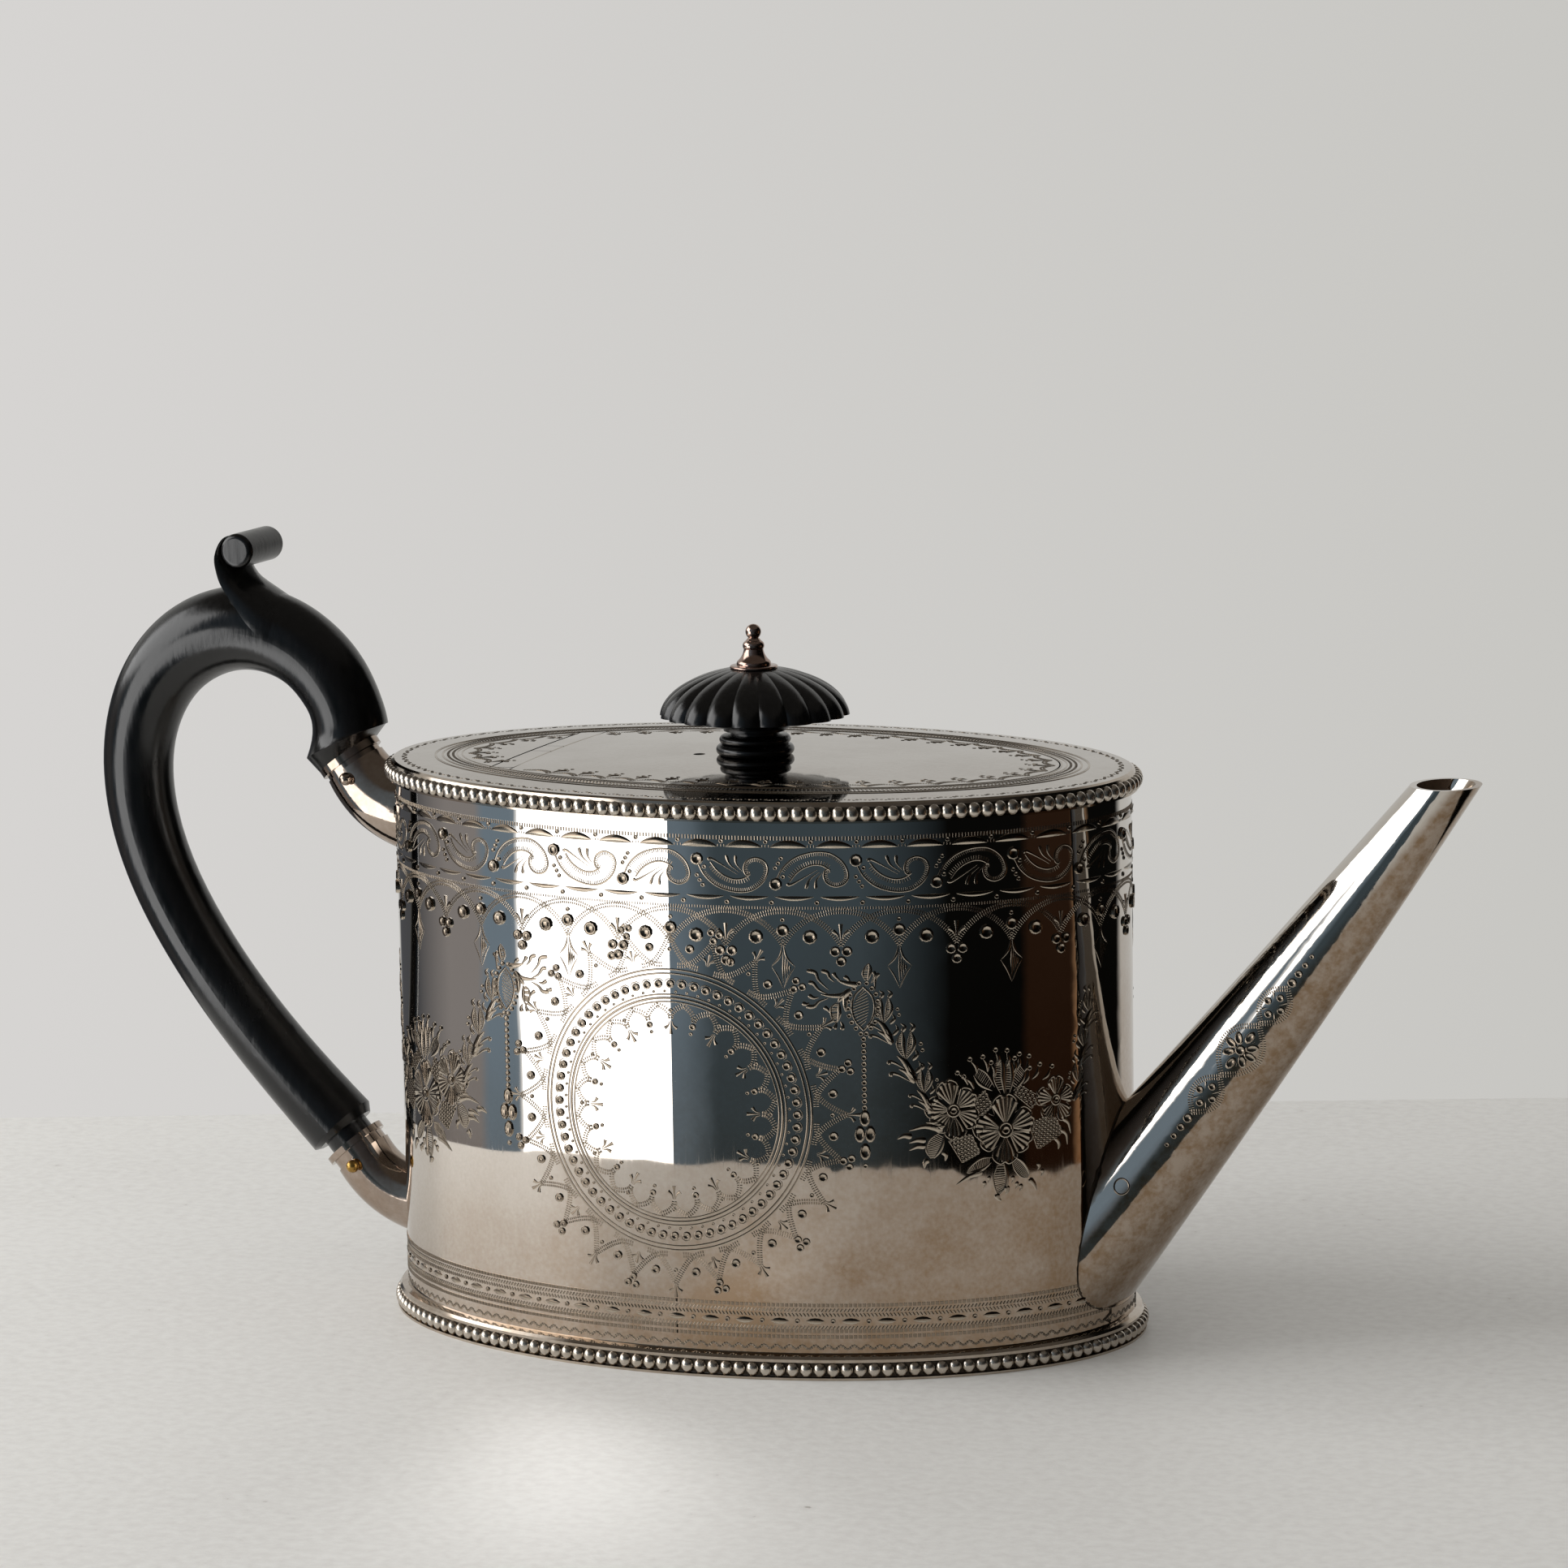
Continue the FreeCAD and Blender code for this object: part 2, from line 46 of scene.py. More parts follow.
# The drum's half length and half width, the height of its edge, the rise of its top and the hinge's line.
DRUM_A, DRUM_B = 73.0, 48.3
RIM_Z, CROWN = 108.1, 1.2
HINGE_X = -43.4


# Materials


def linear(code):
    """A linear colour from an sRGB hex value."""
    parts = [int(code[k:k + 2], 16) / 255 for k in (1, 3, 5)]
    return [p / 12.92 if p <= 0.04045 else ((p + 0.055) / 1.055) ** 2.4 for p in parts] + [1.0]


def fill(node, inputs):
    """Sets or links a node's inputs."""
    for socket, value in inputs.items():
        if isinstance(value, bpy.types.NodeSocket):
            node.id_data.links.new(value, node.inputs[socket])
        else:
            node.inputs[socket].default_value = value


def add(tree, kind, inputs, out=0, stops=(), **settings):
    """Adds one node with its properties, colour stops and inputs, and gives one of its outputs."""
    made = tree.nodes.new("ShaderNode" + kind)
    for name, value in settings.items():
        setattr(made, name, value)
    for k, (position, code) in enumerate(stops):
        bands = made.color_ramp.elements
        band = bands[k] if k < 2 else bands.new(position)
        band.position = position
        band.color = linear(code)
    fill(made, inputs)
    return made.outputs[out]


def per_mm(size):
    """A pattern's scale from the size of its cells in millimetres."""
    return 1 / (size * MM)


def blank(name):
    """A new material with its tree, its main shader and its place on the object."""
    made = bpy.data.materials.new(name)
    made.use_nodes = True
    tree = made.node_tree
    return made, tree, tree.nodes["Principled BSDF"], add(tree, "TexCoord", {}, "Object")


# The silver's grit, hairlines and ripples, by the size of their cells.
GRIT, HAIR, WAVE = 0.9, 0.45, 22.0


def silver(name, bright, film, share, rough, patch, tone=None, ripple=0.0):
    """Rolled, planished and polished sterling silver: a warm white mirror, slightly rippled, with a brown
    film in patches and hairline scratches. The scratches are drawn coarser than real ones, so that they
    show. A tone says along which direction the film thickens, from where to where, and its least share; on
    the spout that thickening also stands as a painted reflection of the board."""
    made, tree, shader, place = blank(name)
    cloud = add(tree, "TexNoise", {"Vector": place, "Scale": per_mm(patch), "Detail": 6.0, "Roughness": 0.65})
    grit = add(tree, "TexNoise", {"Vector": place, "Scale": per_mm(GRIT), "Detail": 3.0})
    mixed = add(tree, "Math", {0: grit, 1: 0.4, 2: cloud}, operation="MULTIPLY_ADD")
    dulled = add(tree, "MapRange", {"Value": mixed, "From Min": 0.55, "From Max": 0.85,
                                    "To Min": 0.7 * share, "To Max": share})
    if tone:
        towards, start, end, least = tone
        reach = add(tree, "VectorMath", {0: place, 1: towards}, "Value", operation="DOT_PRODUCT")
        more = add(tree, "MapRange", {"Value": reach, "From Min": start * MM, "From Max": end * MM,
                                      "To Min": least, "To Max": 1.0})
        dulled = add(tree, "Math", {0: dulled, 1: more}, operation="MULTIPLY")
    colour = add(tree, "Mix", {"Factor": dulled, "A": linear(bright), "B": linear(film)}, "Result",
                 data_type="RGBA")
    slanted = add(tree, "Mapping", {"Vector": place, "Rotation": (0.5, 0.6, 0.2), "Scale": (1.0, 1.0, 0.06)})
    hair = add(tree, "TexNoise", {"Vector": slanted, "Scale": per_mm(HAIR), "Detail": 2.0, "Distortion": 0.4})
    scratch = add(tree, "MapRange", {"Value": hair, "From Min": 0.56, "From Max": 0.72,
                                     "To Min": rough, "To Max": rough + 0.03})
    gloss = add(tree, "Math", {0: dulled, 1: 0.03, 2: scratch}, operation="MULTIPLY_ADD")
    wave = add(tree, "TexNoise", {"Vector": place, "Scale": per_mm(WAVE), "Detail": 2.0, "Roughness": 0.4})
    bump = add(tree, "Bump", {"Height": wave, "Strength": 1.0, "Distance": ripple * MM})
    fill(shader, {"Base Color": colour, "Roughness": gloss, "Normal": bump, "Metallic": 1.0})
    return made


WALL_SILVER = silver("polished_silver_wall", "#E0DDD8", "#9C8369", 0.97, 0.012, 17.0,
                     ((0.35, 0.0, -1.0), -75, -10, 0.1), 0.1)
LID_SILVER = silver("polished_silver_lid", "#DEDAD5", "#9A8F82", 0.7, 0.03, 15.0, None, 0.05)
# The spout's lower side is browned with a sharp edge: tarnish film and a painted reflection of the board,
# whose far edge the boundary follows.
SPOUT_SILVER_FILM_AND_REFLECTION = silver("spout_silver_film_and_painted_reflection", "#DAD5CE", "#8F7860", 1.0, 0.04, 3.0,
                      ((0.785, 0.0, -0.619), 39.8, 41.4, 0.12), 0.06)
SOCKET_SILVER = silver("polished_silver_sockets", "#D2C8BF", "#8A735F", 0.75, 0.05, 8.0)
EDGE_SILVER = silver("worn_silver_edges", "#DED7CE", "#9A866F", 0.7, 0.06, 6.0)
BEAD_SILVER = silver("worn_silver_beads", "#E2DCD4", "#AB9C88", 0.6, 0.24, 6.0)
FINIAL_SILVER = silver("pink_toned_silver", "#DCCBC0", "#94776A", 0.9, 0.1, 4.0)

# The engraving keeps how far each spot faces upward in an attribute of this name; the engraving's material
# turns it into painted shade and painted highlight.
UPWARD = "upward"
CUT_SHADE_AND_HIGHLIGHT_TONES = ((0.3, "#CDC2B2"), (0.5, "#8A7D6E"), (0.64, "#453D34"), (0.76, "#453D34"), (0.88, "#A79A8A"))


def cut_silver():
    """Bright-cut engraving: facets left by a burin, mottled with oxide at random and coloured by which way
    they face: painted highlight on their lower sides, painted shade on their upper ones, and paler again
    where they lie level on the top."""
    made, tree, shader, place = blank("engraved_silver")
    oxide = add(tree, "TexNoise", {"Vector": place, "Scale": per_mm(2.4), "Detail": 3.0})
    upward = add(tree, "Attribute", {}, "Fac", attribute_name=UPWARD)
    # Random oxide mixed with how far each facet faces up: painted shade on upward facets, painted highlight
    # on downward ones.
    share = add(tree, "Math", {0: oxide, 1: 0.25, 2: upward}, operation="MULTIPLY_ADD")
    shift = add(tree, "Math", {0: share, 1: 0.5, 2: 0.44}, operation="MULTIPLY_ADD")
    colour = add(tree, "ValToRGB", {"Fac": shift}, stops=CUT_SHADE_AND_HIGHLIGHT_TONES)
    fill(shader, {"Base Color": colour, "Metallic": 1.0, "Roughness": 0.15})
    return made


def mottled(name, patch, tones, metallic, rough):
    """An old metal whose colour changes between two tones in patches."""
    made, tree, shader, place = blank(name)
    cloud = add(tree, "TexNoise", {"Vector": place, "Scale": per_mm(patch), "Detail": 4.0})
    colour = add(tree, "ValToRGB", {"Fac": cloud}, stops=tones)
    fill(shader, {"Base Color": colour, "Metallic": metallic, "Roughness": rough})
    return made


EBONY_TONES = ((0.32, "#030303"), (0.6, "#070707"), (0.8, "#14110F"))


def ebony():
    """Carved and waxed ebony: near black, with fine long pores and a worn wax gloss."""
    made, tree, shader, place = blank("waxed_ebony")
    along = add(tree, "Mapping", {"Vector": place, "Scale": (1.0, 1.0, 0.09)})
    pores = add(tree, "TexNoise", {"Vector": along, "Scale": per_mm(1.0), "Detail": 4.0, "Roughness": 0.6})
    wear = add(tree, "TexNoise", {"Vector": place, "Scale": per_mm(14.0), "Detail": 5.0})
    colour = add(tree, "ValToRGB", {"Fac": pores}, stops=EBONY_TONES)
    worn = add(tree, "Math", {0: pores, 1: 0.35, 2: wear}, operation="MULTIPLY_ADD")
    gloss = add(tree, "MapRange", {"Value": worn, "From Min": 0.45, "From Max": 0.9,
                                   "To Min": 0.13, "To Max": 0.3})
    bump = add(tree, "Bump", {"Height": pores, "Strength": 0.3, "Distance": 0.1 * MM})
    fill(shader, {"Base Color": colour, "Roughness": gloss, "Normal": bump})
    return made


CUT_SILVER = cut_silver()
# A dark mottled finish: sulphide that blackens the corners no polishing cloth reaches, and painted shade in
# the gaps and crevices where it is put.
DARK_OXIDE_AND_SHADE_SILVER = mottled("oxidised_silver_and_painted_shade", 3.3, ((0.3, "#2B2622"), (0.75, "#5D5347")), 1.0, 0.45)
# Tea has left a dull brown film inside the pot and the spout.
STAINED_SILVER = mottled("tea_stained_silver", 9.0, ((0.3, "#4E3C2E"), (0.75, "#8A7460")), 0.35, 0.5)
BRASS = mottled("aged_brass", 2.0, ((0.35, "#7A5A2C"), (0.7, "#C9A25A")), 1.0, 0.3)
EBONY = ebony()

TOP_NODES = ("top_plate", "lid_plate", "hinge_body_leaf", "hinge_lid_leaf")
FINISHES = (
    (WALL_SILVER, ("body_wall",)),
    (LID_SILVER, TOP_NODES),
    (EDGE_SILVER, ("base_plate", "foot_rim", "top_rim", "lid_seat", "lid_flange", "hinge_pin",
                   "knob_washer", "knob_nut")),
    (SPOUT_SILVER_FILM_AND_REFLECTION, ("spout",)),
    (SOCKET_SILVER, ("upper_socket", "upper_socket_collar", "upper_handle_pin",
                     "lower_socket", "lower_socket_collar")),
    (BRASS, ("lower_handle_pin",)),
    (EBONY, ("handle", "knob")),
    (FINIAL_SILVER, ("knob_finial",)),
)
for finish, names in FINISHES:
    for name in names:
        cad[name].data.materials.clear()
        cad[name].data.materials.append(finish)


def second_finish(node, finish, wanted):
    """Gives another finish to those faces of a piece that are wanted."""
    mesh = cad[node].data
    mesh.materials.append(finish)
    for face in mesh.polygons:
        face.material_index = int(wanted(face))


# A face is steep below the first height of its normal, and level above the second.
STEEP, LEVEL = 0.6, 0.5
# The steep walls of the narrow gaps round the lid and the hinge take the dark finish: painted shade in the
# gaps.
for name in TOP_NODES:
    second_finish(name, DARK_OXIDE_AND_SHADE_SILVER, lambda face: abs(face.normal.z) < STEEP)


# Laying flat work on the silver


OVAL_STEPS = 2881


class Oval:
    """An oval walked round from its front middle, by the distance along it."""

    def __init__(self, a, b):
        self.a, self.b = a, b
        self.angles = np.linspace(-math.pi / 2, 1.5 * math.pi, OVAL_STEPS)
        steps = np.hypot(np.diff(a * np.cos(self.angles)), np.diff(b * np.sin(self.angles)))
        self.walk = np.concatenate(([0.0], np.cumsum(steps)))
        self.girth = self.walk[-1]

    def angle(self, s):
        return np.interp(np.mod(s, self.girth), self.walk, self.angles)

    def lay(self, s, out):
        """Points (x, y) at a distance out from the oval."""
        angle = self.angle(s)
        side = np.stack((np.cos(angle) / self.a, np.sin(angle) / self.b), 1)
        side /= np.linalg.norm(side, axis=1)[:, None]
        return np.stack((self.a * np.cos(angle), self.b * np.sin(angle)), 1) + side * out[:, None]


DRUM = Oval(DRUM_A, DRUM_B)
GIRTH = DRUM.girth


def lay_on_wall(flat):
    """Flat (distance round, height, relief) onto the drum's wall."""
    return np.column_stack((DRUM.lay(flat[:, 0], flat[:, 2]), flat[:, 1]))


def dome_z(x, y):
    """The height of the domed top."""
    reach = np.hypot(x / DRUM_A, y / DRUM_B)
    return RIM_Z + CROWN * (1 - reach ** 2)


LID_BORDER_INSET = 15.0
LID_OVAL = Oval(DRUM_A - LID_BORDER_INSET, DRUM_B - LID_BORDER_INSET)


def lay_on_top(flat):
    """Flat (distance round the lid's border, distance in from the drum's edge, relief) onto the domed top."""
    angle = LID_OVAL.angle(flat[:, 0])
    x = (DRUM_A - flat[:, 1]) * np.cos(angle)
    y = (DRUM_B - flat[:, 1]) * np.sin(angle)
    return np.column_stack((x, y, dome_z(x, y) + flat[:, 2]))


def surface_of(node):
    """The surface of a piece, for finding spots on it."""
    mesh = cad[node].data
    return BVHTree.FromPolygons([v.co for v in mesh.vertices], [p.vertices for p in mesh.polygons])


SPOUT_SKIN = surface_of("spout")


def inner_faces(skin, reach):
    """A test for the faces of a hollow piece that look at another part of it within reach, in metres."""
    start = 0.05 * MM
    return lambda face: skin.ray_cast(face.center + face.normal * start, face.normal, reach)[0] is not None


second_finish("spout", STAINED_SILVER, inner_faces(SPOUT_SKIN, 0.06))
second_finish("body_wall", STAINED_SILVER, inner_faces(surface_of("body_wall"), 0.16))
second_finish("base_plate", STAINED_SILVER, lambda face: face.normal.z > LEVEL)

# Rays towards the spout start this far in front of it, in metres.
SIDE_REACH = 0.06


def lay_on_spout(flat):
    """Flat (x, z, relief) onto the near side of the spout."""
    laid = []
    for x, z, relief in flat:
        start = Vector((x * MM, -SIDE_REACH, z * MM))
        spot, normal, _, _ = SPOUT_SKIN.ray_cast(start, Vector((0, 1, 0)))
        laid.append((spot + normal * relief * MM) / MM)
    return np.array(laid)


def lay_on_far_spout(flat):
    """The same on its far side."""
    return lay_on_spout(flat) * np.array((1.0, -1.0, 1.0))


# Engraver's tools


def burin(wide):
    """Width along a cut that starts and ends in a point."""
    return lambda t: wide * (0.1 + 0.9 * math.sin(math.pi * t) ** 0.8)


def comma(wide):
    """Width along a cut that starts thick and runs out to a point."""
    return lambda t: wide * (0.1 + 0.9 * (1 - t) ** 0.7 * min(1.0, 0.5 + 4 * t))


def even(wide):
    """One width all along a cut."""
    return lambda t: wide


def smooth(points, steps=5):
    """A line that passes smoothly through points."""
    ends = [2 * points[0] - points[1]] + list(points) + [2 * points[-1] - points[-2]]
    line = []
    for k in range(1, len(ends) - 2):
        p0, p1, p2, p3 = ends[k - 1:k + 3]
        for step in range(steps):
            t = step / steps
            line.append(0.5 * (2 * p1 + (p2 - p0) * t + (2 * p0 - 5 * p1 + 4 * p2 - p3) * t ** 2
                               + (3 * p1 - p0 - 3 * p2 + p3) * t ** 3))
    return line + [points[-1]]


def spaced(line, pitch):
    """Points at an even pitch along a line, each with the line's heading there."""
    run = [0.0]
    for a, b in zip(line, line[1:]):
        run.append(run[-1] + abs(b - a))
    count = max(2, round(run[-1] / pitch) + 1)
    where = np.linspace(0, run[-1], count)
    across, up = [np.interp(where, run, part) for part in (np.real(line), np.imag(line))]
    spots = across + 1j * up
    for k, spot in enumerate(spots):
        ahead = spots[min(k + 1, count - 1)] - spots[max(k - 1, 0)]
        yield complex(spot), complex(ahead / abs(ahead))


class Pen:
    """Draws on a flat sheet. A point is a complex number; a pen may be moved, turned and flipped."""

    def __init__(self, cuts=None, punches=None, origin=0j, turn=1 + 0j, flip=False):
        self.cuts = [] if cuts is None else cuts
        self.punches = [] if punches is None else punches
        self.origin, self.turn, self.flip = origin, turn, flip

    def spot(self, p):
        return self.origin + self.turn * (p.conjugate() if self.flip else p)

    def moved(self, origin, degrees=0.0, flip=False, size=1.0):
        """A pen for a motif at a place of this pen's sheet. Flip mirrors the motif about its long axis."""
        lean = cmath.rect(size, math.radians(degrees))
        turn = self.turn * (lean.conjugate() if self.flip else lean)
        return Pen(self.cuts, self.punches, self.spot(origin), turn, self.flip != flip)

    def mirrored(self, origin):
        """A pen for a motif that is turned left to right."""
        return self.moved(origin, 180, True)

    def cut(self, line, width):
        scale = abs(self.turn)
        last = max(1, len(line) - 1)
        self.cuts.append([(self.spot(p), width(k / last) * scale) for k, p in enumerate(line)])

    def strokes(self, width, *lines):
        """Several smooth cuts of one kind."""
        for points in lines:
            self.cut(smooth(points, 4), width)

    def tick(self, start, end, wide=0.2):
        self.cut([start, end], even(wide))

    def ladder(self, line, inner, outer, pitch=0.5, wide=0.2):
        """Short ticks across a line, from one distance to another on its left."""
        for spot, heading in spaced(line, pitch):
            self.tick(spot + heading * 1j * inner, spot + heading * 1j * outer, wide)

    def double_ladder(self, line):
        """Two rows of ticks side by side, as a rocked graver leaves them."""
        for near, far in ((0.08, 0.52), (-0.08, -0.52)):
            self.ladder(line, near, far, 0.46, 0.25)

    def hatch(self, left, right, pitch, wide):
        """Fine lines from one edge of a leaf to the other."""
        count = max(2, round(abs(left[-1] - left[0]) / pitch))
        for k in range(count + 1):
            t = k / count
            a = left[round(t * (len(left) - 1))]
            b = right[round(t * (len(right) - 1))]
            if abs(b - a) > 0.2:
                self.tick(a, b, wide)

    def punch(self, p, radius, stretch=1.0, heading=1 + 0j):
        """A punch mark; a stretched one is long along its heading."""
        lean = heading.conjugate() if self.flip else heading
        angle = cmath.phase(self.turn * lean)
        self.punches.append((self.spot(p), radius * abs(self.turn), stretch, angle))


def finished(name, bm):
    """The mesh of a shape that has been worked."""
    mesh = bpy.data.meshes.new(name)
    bm.to_mesh(mesh)
    bm.free()
    return mesh


PUNCH_SIDES = 10


def punch_mark():
    """A round hollow with a raised lip, as a punch leaves it: an outer slope, then two steps inward."""
    bm = bmesh.new()
    bmesh.ops.create_circle(bm, cap_ends=True, segments=PUNCH_SIDES, radius=1.15)
    bmesh.ops.translate(bm, vec=(0, 0, -0.3), verts=bm.verts)
    for narrower, higher in ((0.17, 0.68), (0.36, -0.24), (0.34, -0.1)):
        floor = [face for face in bm.faces if len(face.verts) == PUNCH_SIDES]
        sides = bmesh.ops.inset_region(bm, faces=floor, thickness=narrower, depth=higher,
                                       use_boundary=True)["faces"]
        for face in sides + floor:
            face.smooth = higher < 0
    return finished("punch_mark", bm)


def groove():
    """The section of a cut: two raised burrs and a V between them, for a width of two."""
    section = bpy.data.curves.new("groove", "CURVE")
    line = section.splines.new("POLY")
    corners = ((-1.3, -0.5), (-1.0, 0.5), (0.0, 0.12), (1.0, 0.5), (1.3, -0.5))
    line.points.add(len(corners) - 1)
    for knot, (x, y) in zip(line.points, corners):
        knot.co = (x, y, 0.0, 1.0)
    holder = bpy.data.objects.new("groove", section)
    scene.collection.objects.link(holder)
    return holder


PUNCH_MARK = punch_mark()
GROOVE = groove()


def new_piece(name, bm, finish, body):
    """A finished piece from its mesh, riding on a body."""
    mesh = finished(name, bm)
    for surface in finish:
        mesh.materials.append(surface)
    piece = bpy.data.objects.new(name, mesh)
    scene.collection.objects.link(piece)
    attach(piece, body)
    return piece


def engraved(name, draw, lay, body, metal=CUT_SILVER):
    """Draws a sheet, turns its cuts and punch marks into metal and lays them on the silver."""
    pen = Pen()
    draw(pen)
    lines = bpy.data.curves.new(name + "_lines", "CURVE")
    lines.dimensions = "3D"
    lines.twist_mode = "Z_UP"
    lines.bevel_mode = "OBJECT"
    lines.bevel_object = GROOVE
    lines.use_fill_caps = True
    for points in pen.cuts:
        spline = lines.splines.new("POLY")
        spline.points.add(len(points) - 1)
        for knot, (p, wide) in zip(spline.points, points):
            knot.co = (p.real, p.imag, 0.0, 1.0)
            knot.radius = wide / 2
    sheet = bpy.data.objects.new(name + "_sheet", lines)
    scene.collection.objects.link(sheet)
    shown = sheet.evaluated_get(bpy.context.evaluated_depsgraph_get())
    drawn = bpy.data.meshes.new_from_object(shown)
    bpy.data.objects.remove(sheet)
    bm = bmesh.new()
    bm.from_mesh(drawn)
    for p, radius, stretch, angle in pen.punches:
        mark = PUNCH_MARK.copy()
        mark.transform(Matrix.Translation((p.real, p.imag, 0.0)) @ Matrix.Rotation(angle, 4, "Z")
                       @ Matrix.Diagonal((radius * stretch, radius, radius, 1.0)))
        bm.from_mesh(mark)
        bpy.data.meshes.remove(mark)
    flat = np.array([v.co for v in bm.verts])
    for vert, spot in zip(bm.verts, lay(flat)):
        vert.co = spot * MM
    if lay is lay_on_far_spout:
        bmesh.ops.reverse_faces(bm, faces=bm.faces)
    bm.normal_update()
    # Each spot's upward facing, which the engraving's material turns into painted shade and painted
    # highlight.
    upward = bm.verts.layers.float.new(UPWARD)
    for vert in bm.verts:
        vert[upward] = vert.normal.z
    new_piece(name, bm, [metal], body)


# Motifs


def three_leaf(pen, size=1.0):
    """A small fleur of three cuts that spread from a foot."""
    stems = ((0j, 1.6j, 3.1j), (-0.3+0.1j, -0.6+1.1j, -1.45+1.8j), (0.3+0.1j, 0.6+1.1j, 1.45+1.8j))
    pen.strokes(lambda t: size * (0.14 + 0.6 * t ** 1.3), *([p * size for p in stem] for stem in stems))


def triad(pen, radius=0.95):
    """Three pearls, two above one."""
    for spot in (-1.1+0.6j, 1.1+0.6j, -1.25j):
        pen.punch(spot * radius / 0.95, radius)


def hook(pen, start, middle, end, wide=0.5):
    """A short cut with a bent head."""
    pen.cut(smooth((start, middle, end), 3), comma(wide))


def half_moon(pen, left, long, high):
    """A wide cut with one straight edge: its lower one, or its upper one if the height is negative."""
    width = burin(abs(high))
    side = math.copysign(0.5, high)
    pen.cut([left + complex(long * k / 12, side * width(k / 12)) for k in range(13)], width)


def scroll(pen):
    """A C-scroll with two ticked edges, a curled end, a pearl at its tail and three leaves inside it."""
    back = smooth([-6.2-1.2j, -5.1+0.8j, -3.2+2.5j, -0.9+3.45j, 1.6+3.8j, 3.9+3.4j, 6.0+1.8j,
                   6.9-0.4j, 6.3-2.0j, 4.6-2.65j, 3.0-2.0j, 2.4-0.7j, 2.7+0.4j, 3.4+0.7j], 5)
    belly = smooth([-3.9-1.7j, -2.8-0.3j, -1.3+0.8j, 0.5+1.4j, 2.2+1.25j, 3.6+0.4j], 5)
    pen.cut(back, even(0.3))
    pen.cut(belly, even(0.3))
    pen.ladder(back[4:], -0.12, -0.72, 0.42, 0.17)
    pen.ladder(belly[2:-2], 0.12, 0.85, 0.42, 0.17)
    pen.punch(-6.5-2.2j, 1.15)
    pen.punch(-5.1-0.8j, 0.42)
    pen.strokes(lambda t: 0.66 * (0.15 + 0.85 * t ** 1.4 * min(1.0, 5.5 - 5 * t)),
                (1.2+0.5j, -1.3-1.0j, -3.7-2.3j, -4.4-2.1j), (1.6+0.1j, -0.2-1.3j, -0.9-3.0j),
                (2.1-0.1j, 1.0-1.5j, 0.9-3.0j))


SCROLLS = 26
SCROLL_PITCH = GIRTH / SCROLLS
SCROLL_START = -2.6
# The frieze's rows from the top down: ticks, dots, half moons, scrolls, half moons, dots and ticks.
TOP_TICKS_Z, TOP_DOTS_Z, TOP_MOONS_Z = 101.0, 100.75, 99.65
FRIEZE_Z = 95.1
LOW_MOONS_Z, LOW_DOTS_Z, LOW_TICKS_Z = 90.6, 89.5, 88.2
MOONS = 46
MOON_PITCH = GIRTH / MOONS


def around(count, first=0.0):
    """Even places round the wall."""
    return [first + k * GIRTH / count for k in range(count)]


def level(z, pitch=1.6):
    """A level line right round the wall."""
    count = round(GIRTH / pitch)
    return [complex(GIRTH * k / count, z) for k in range(count + 1)]


def frieze(pen):
    """Running scrolls between two rows of half-moon cuts and ticks."""
    pen.ladder(level(TOP_TICKS_Z), 0.0, 0.75, 0.6, 0.26)
    for s in around(MOONS, 10.4):
        half_moon(pen, complex(s + 0.85, TOP_MOONS_Z), MOON_PITCH - 1.7, 1.3)
        pen.punch(complex(s, TOP_DOTS_Z), 0.42)
        for step in (-0.6, 0.0, 0.6):
            pen.tick(complex(s + step, 99.7), complex(s + step, 100.15), 0.18)
    for k in range(SCROLLS):
        s = SCROLL_START + k * SCROLL_PITCH
        scroll(pen.moved(complex(s, FRIEZE_Z), 0, k % 2 == 1))
        rise = 1 if k % 2 else -1
        between = complex(s + SCROLL_PITCH / 2, FRIEZE_Z)
        for step in range(3):
            pen.punch(between + complex(0.9 + 0.55 * step, rise * (0.8 + 0.9 * step)), 0.4)
    for s in around(MOONS, 3.0):
        half_moon(pen, complex(s + 0.6, LOW_MOONS_Z), MOON_PITCH - 1.2, -0.75)
        pen.punch(complex(s, LOW_DOTS_Z), 0.45)
    pen.ladder(level(LOW_TICKS_Z), 0.0, 0.5, 0.52, 0.2)


ARCHES = 18
ARCH_PITCH = GIRTH / ARCHES
ARCH_START, ARCH_FOOT_Z, ARCH_RISE = 0.3, 81.6, 6.3


def arch(s, half, foot, rise):
    """An arc of a circle that stands on two feet."""
    radius = (half ** 2 + rise ** 2) / (2 * rise)
    reach = math.asin(half / radius)
    turns = [reach * (k / 12 - 1) for k in range(25)]
    return [complex(s + radius * math.sin(t), foot + rise - radius * (1 - math.cos(t))) for t in turns]


def lozenge(pen):
    """A long star of four points with hollow sides, hatched down its middle."""
    pen.strokes(burin(0.36), (-0.1+4.1j, -0.7+1.9j, -2.2+0.2j), (0.1+4.1j, 0.7+1.9j, 2.2+0.2j))
    pen.strokes(burin(0.26), (-2.2+0.2j, -1.0-1.6j, -4.0j), (2.2+0.2j, 1.0-1.6j, -4.0j))
    for k in range(4):
        pen.cut([0.4 * k + 1j * y for y in (3.0 - 0.8 * k, 0.0, -2.9 + 0.7 * k)], burin(0.36))


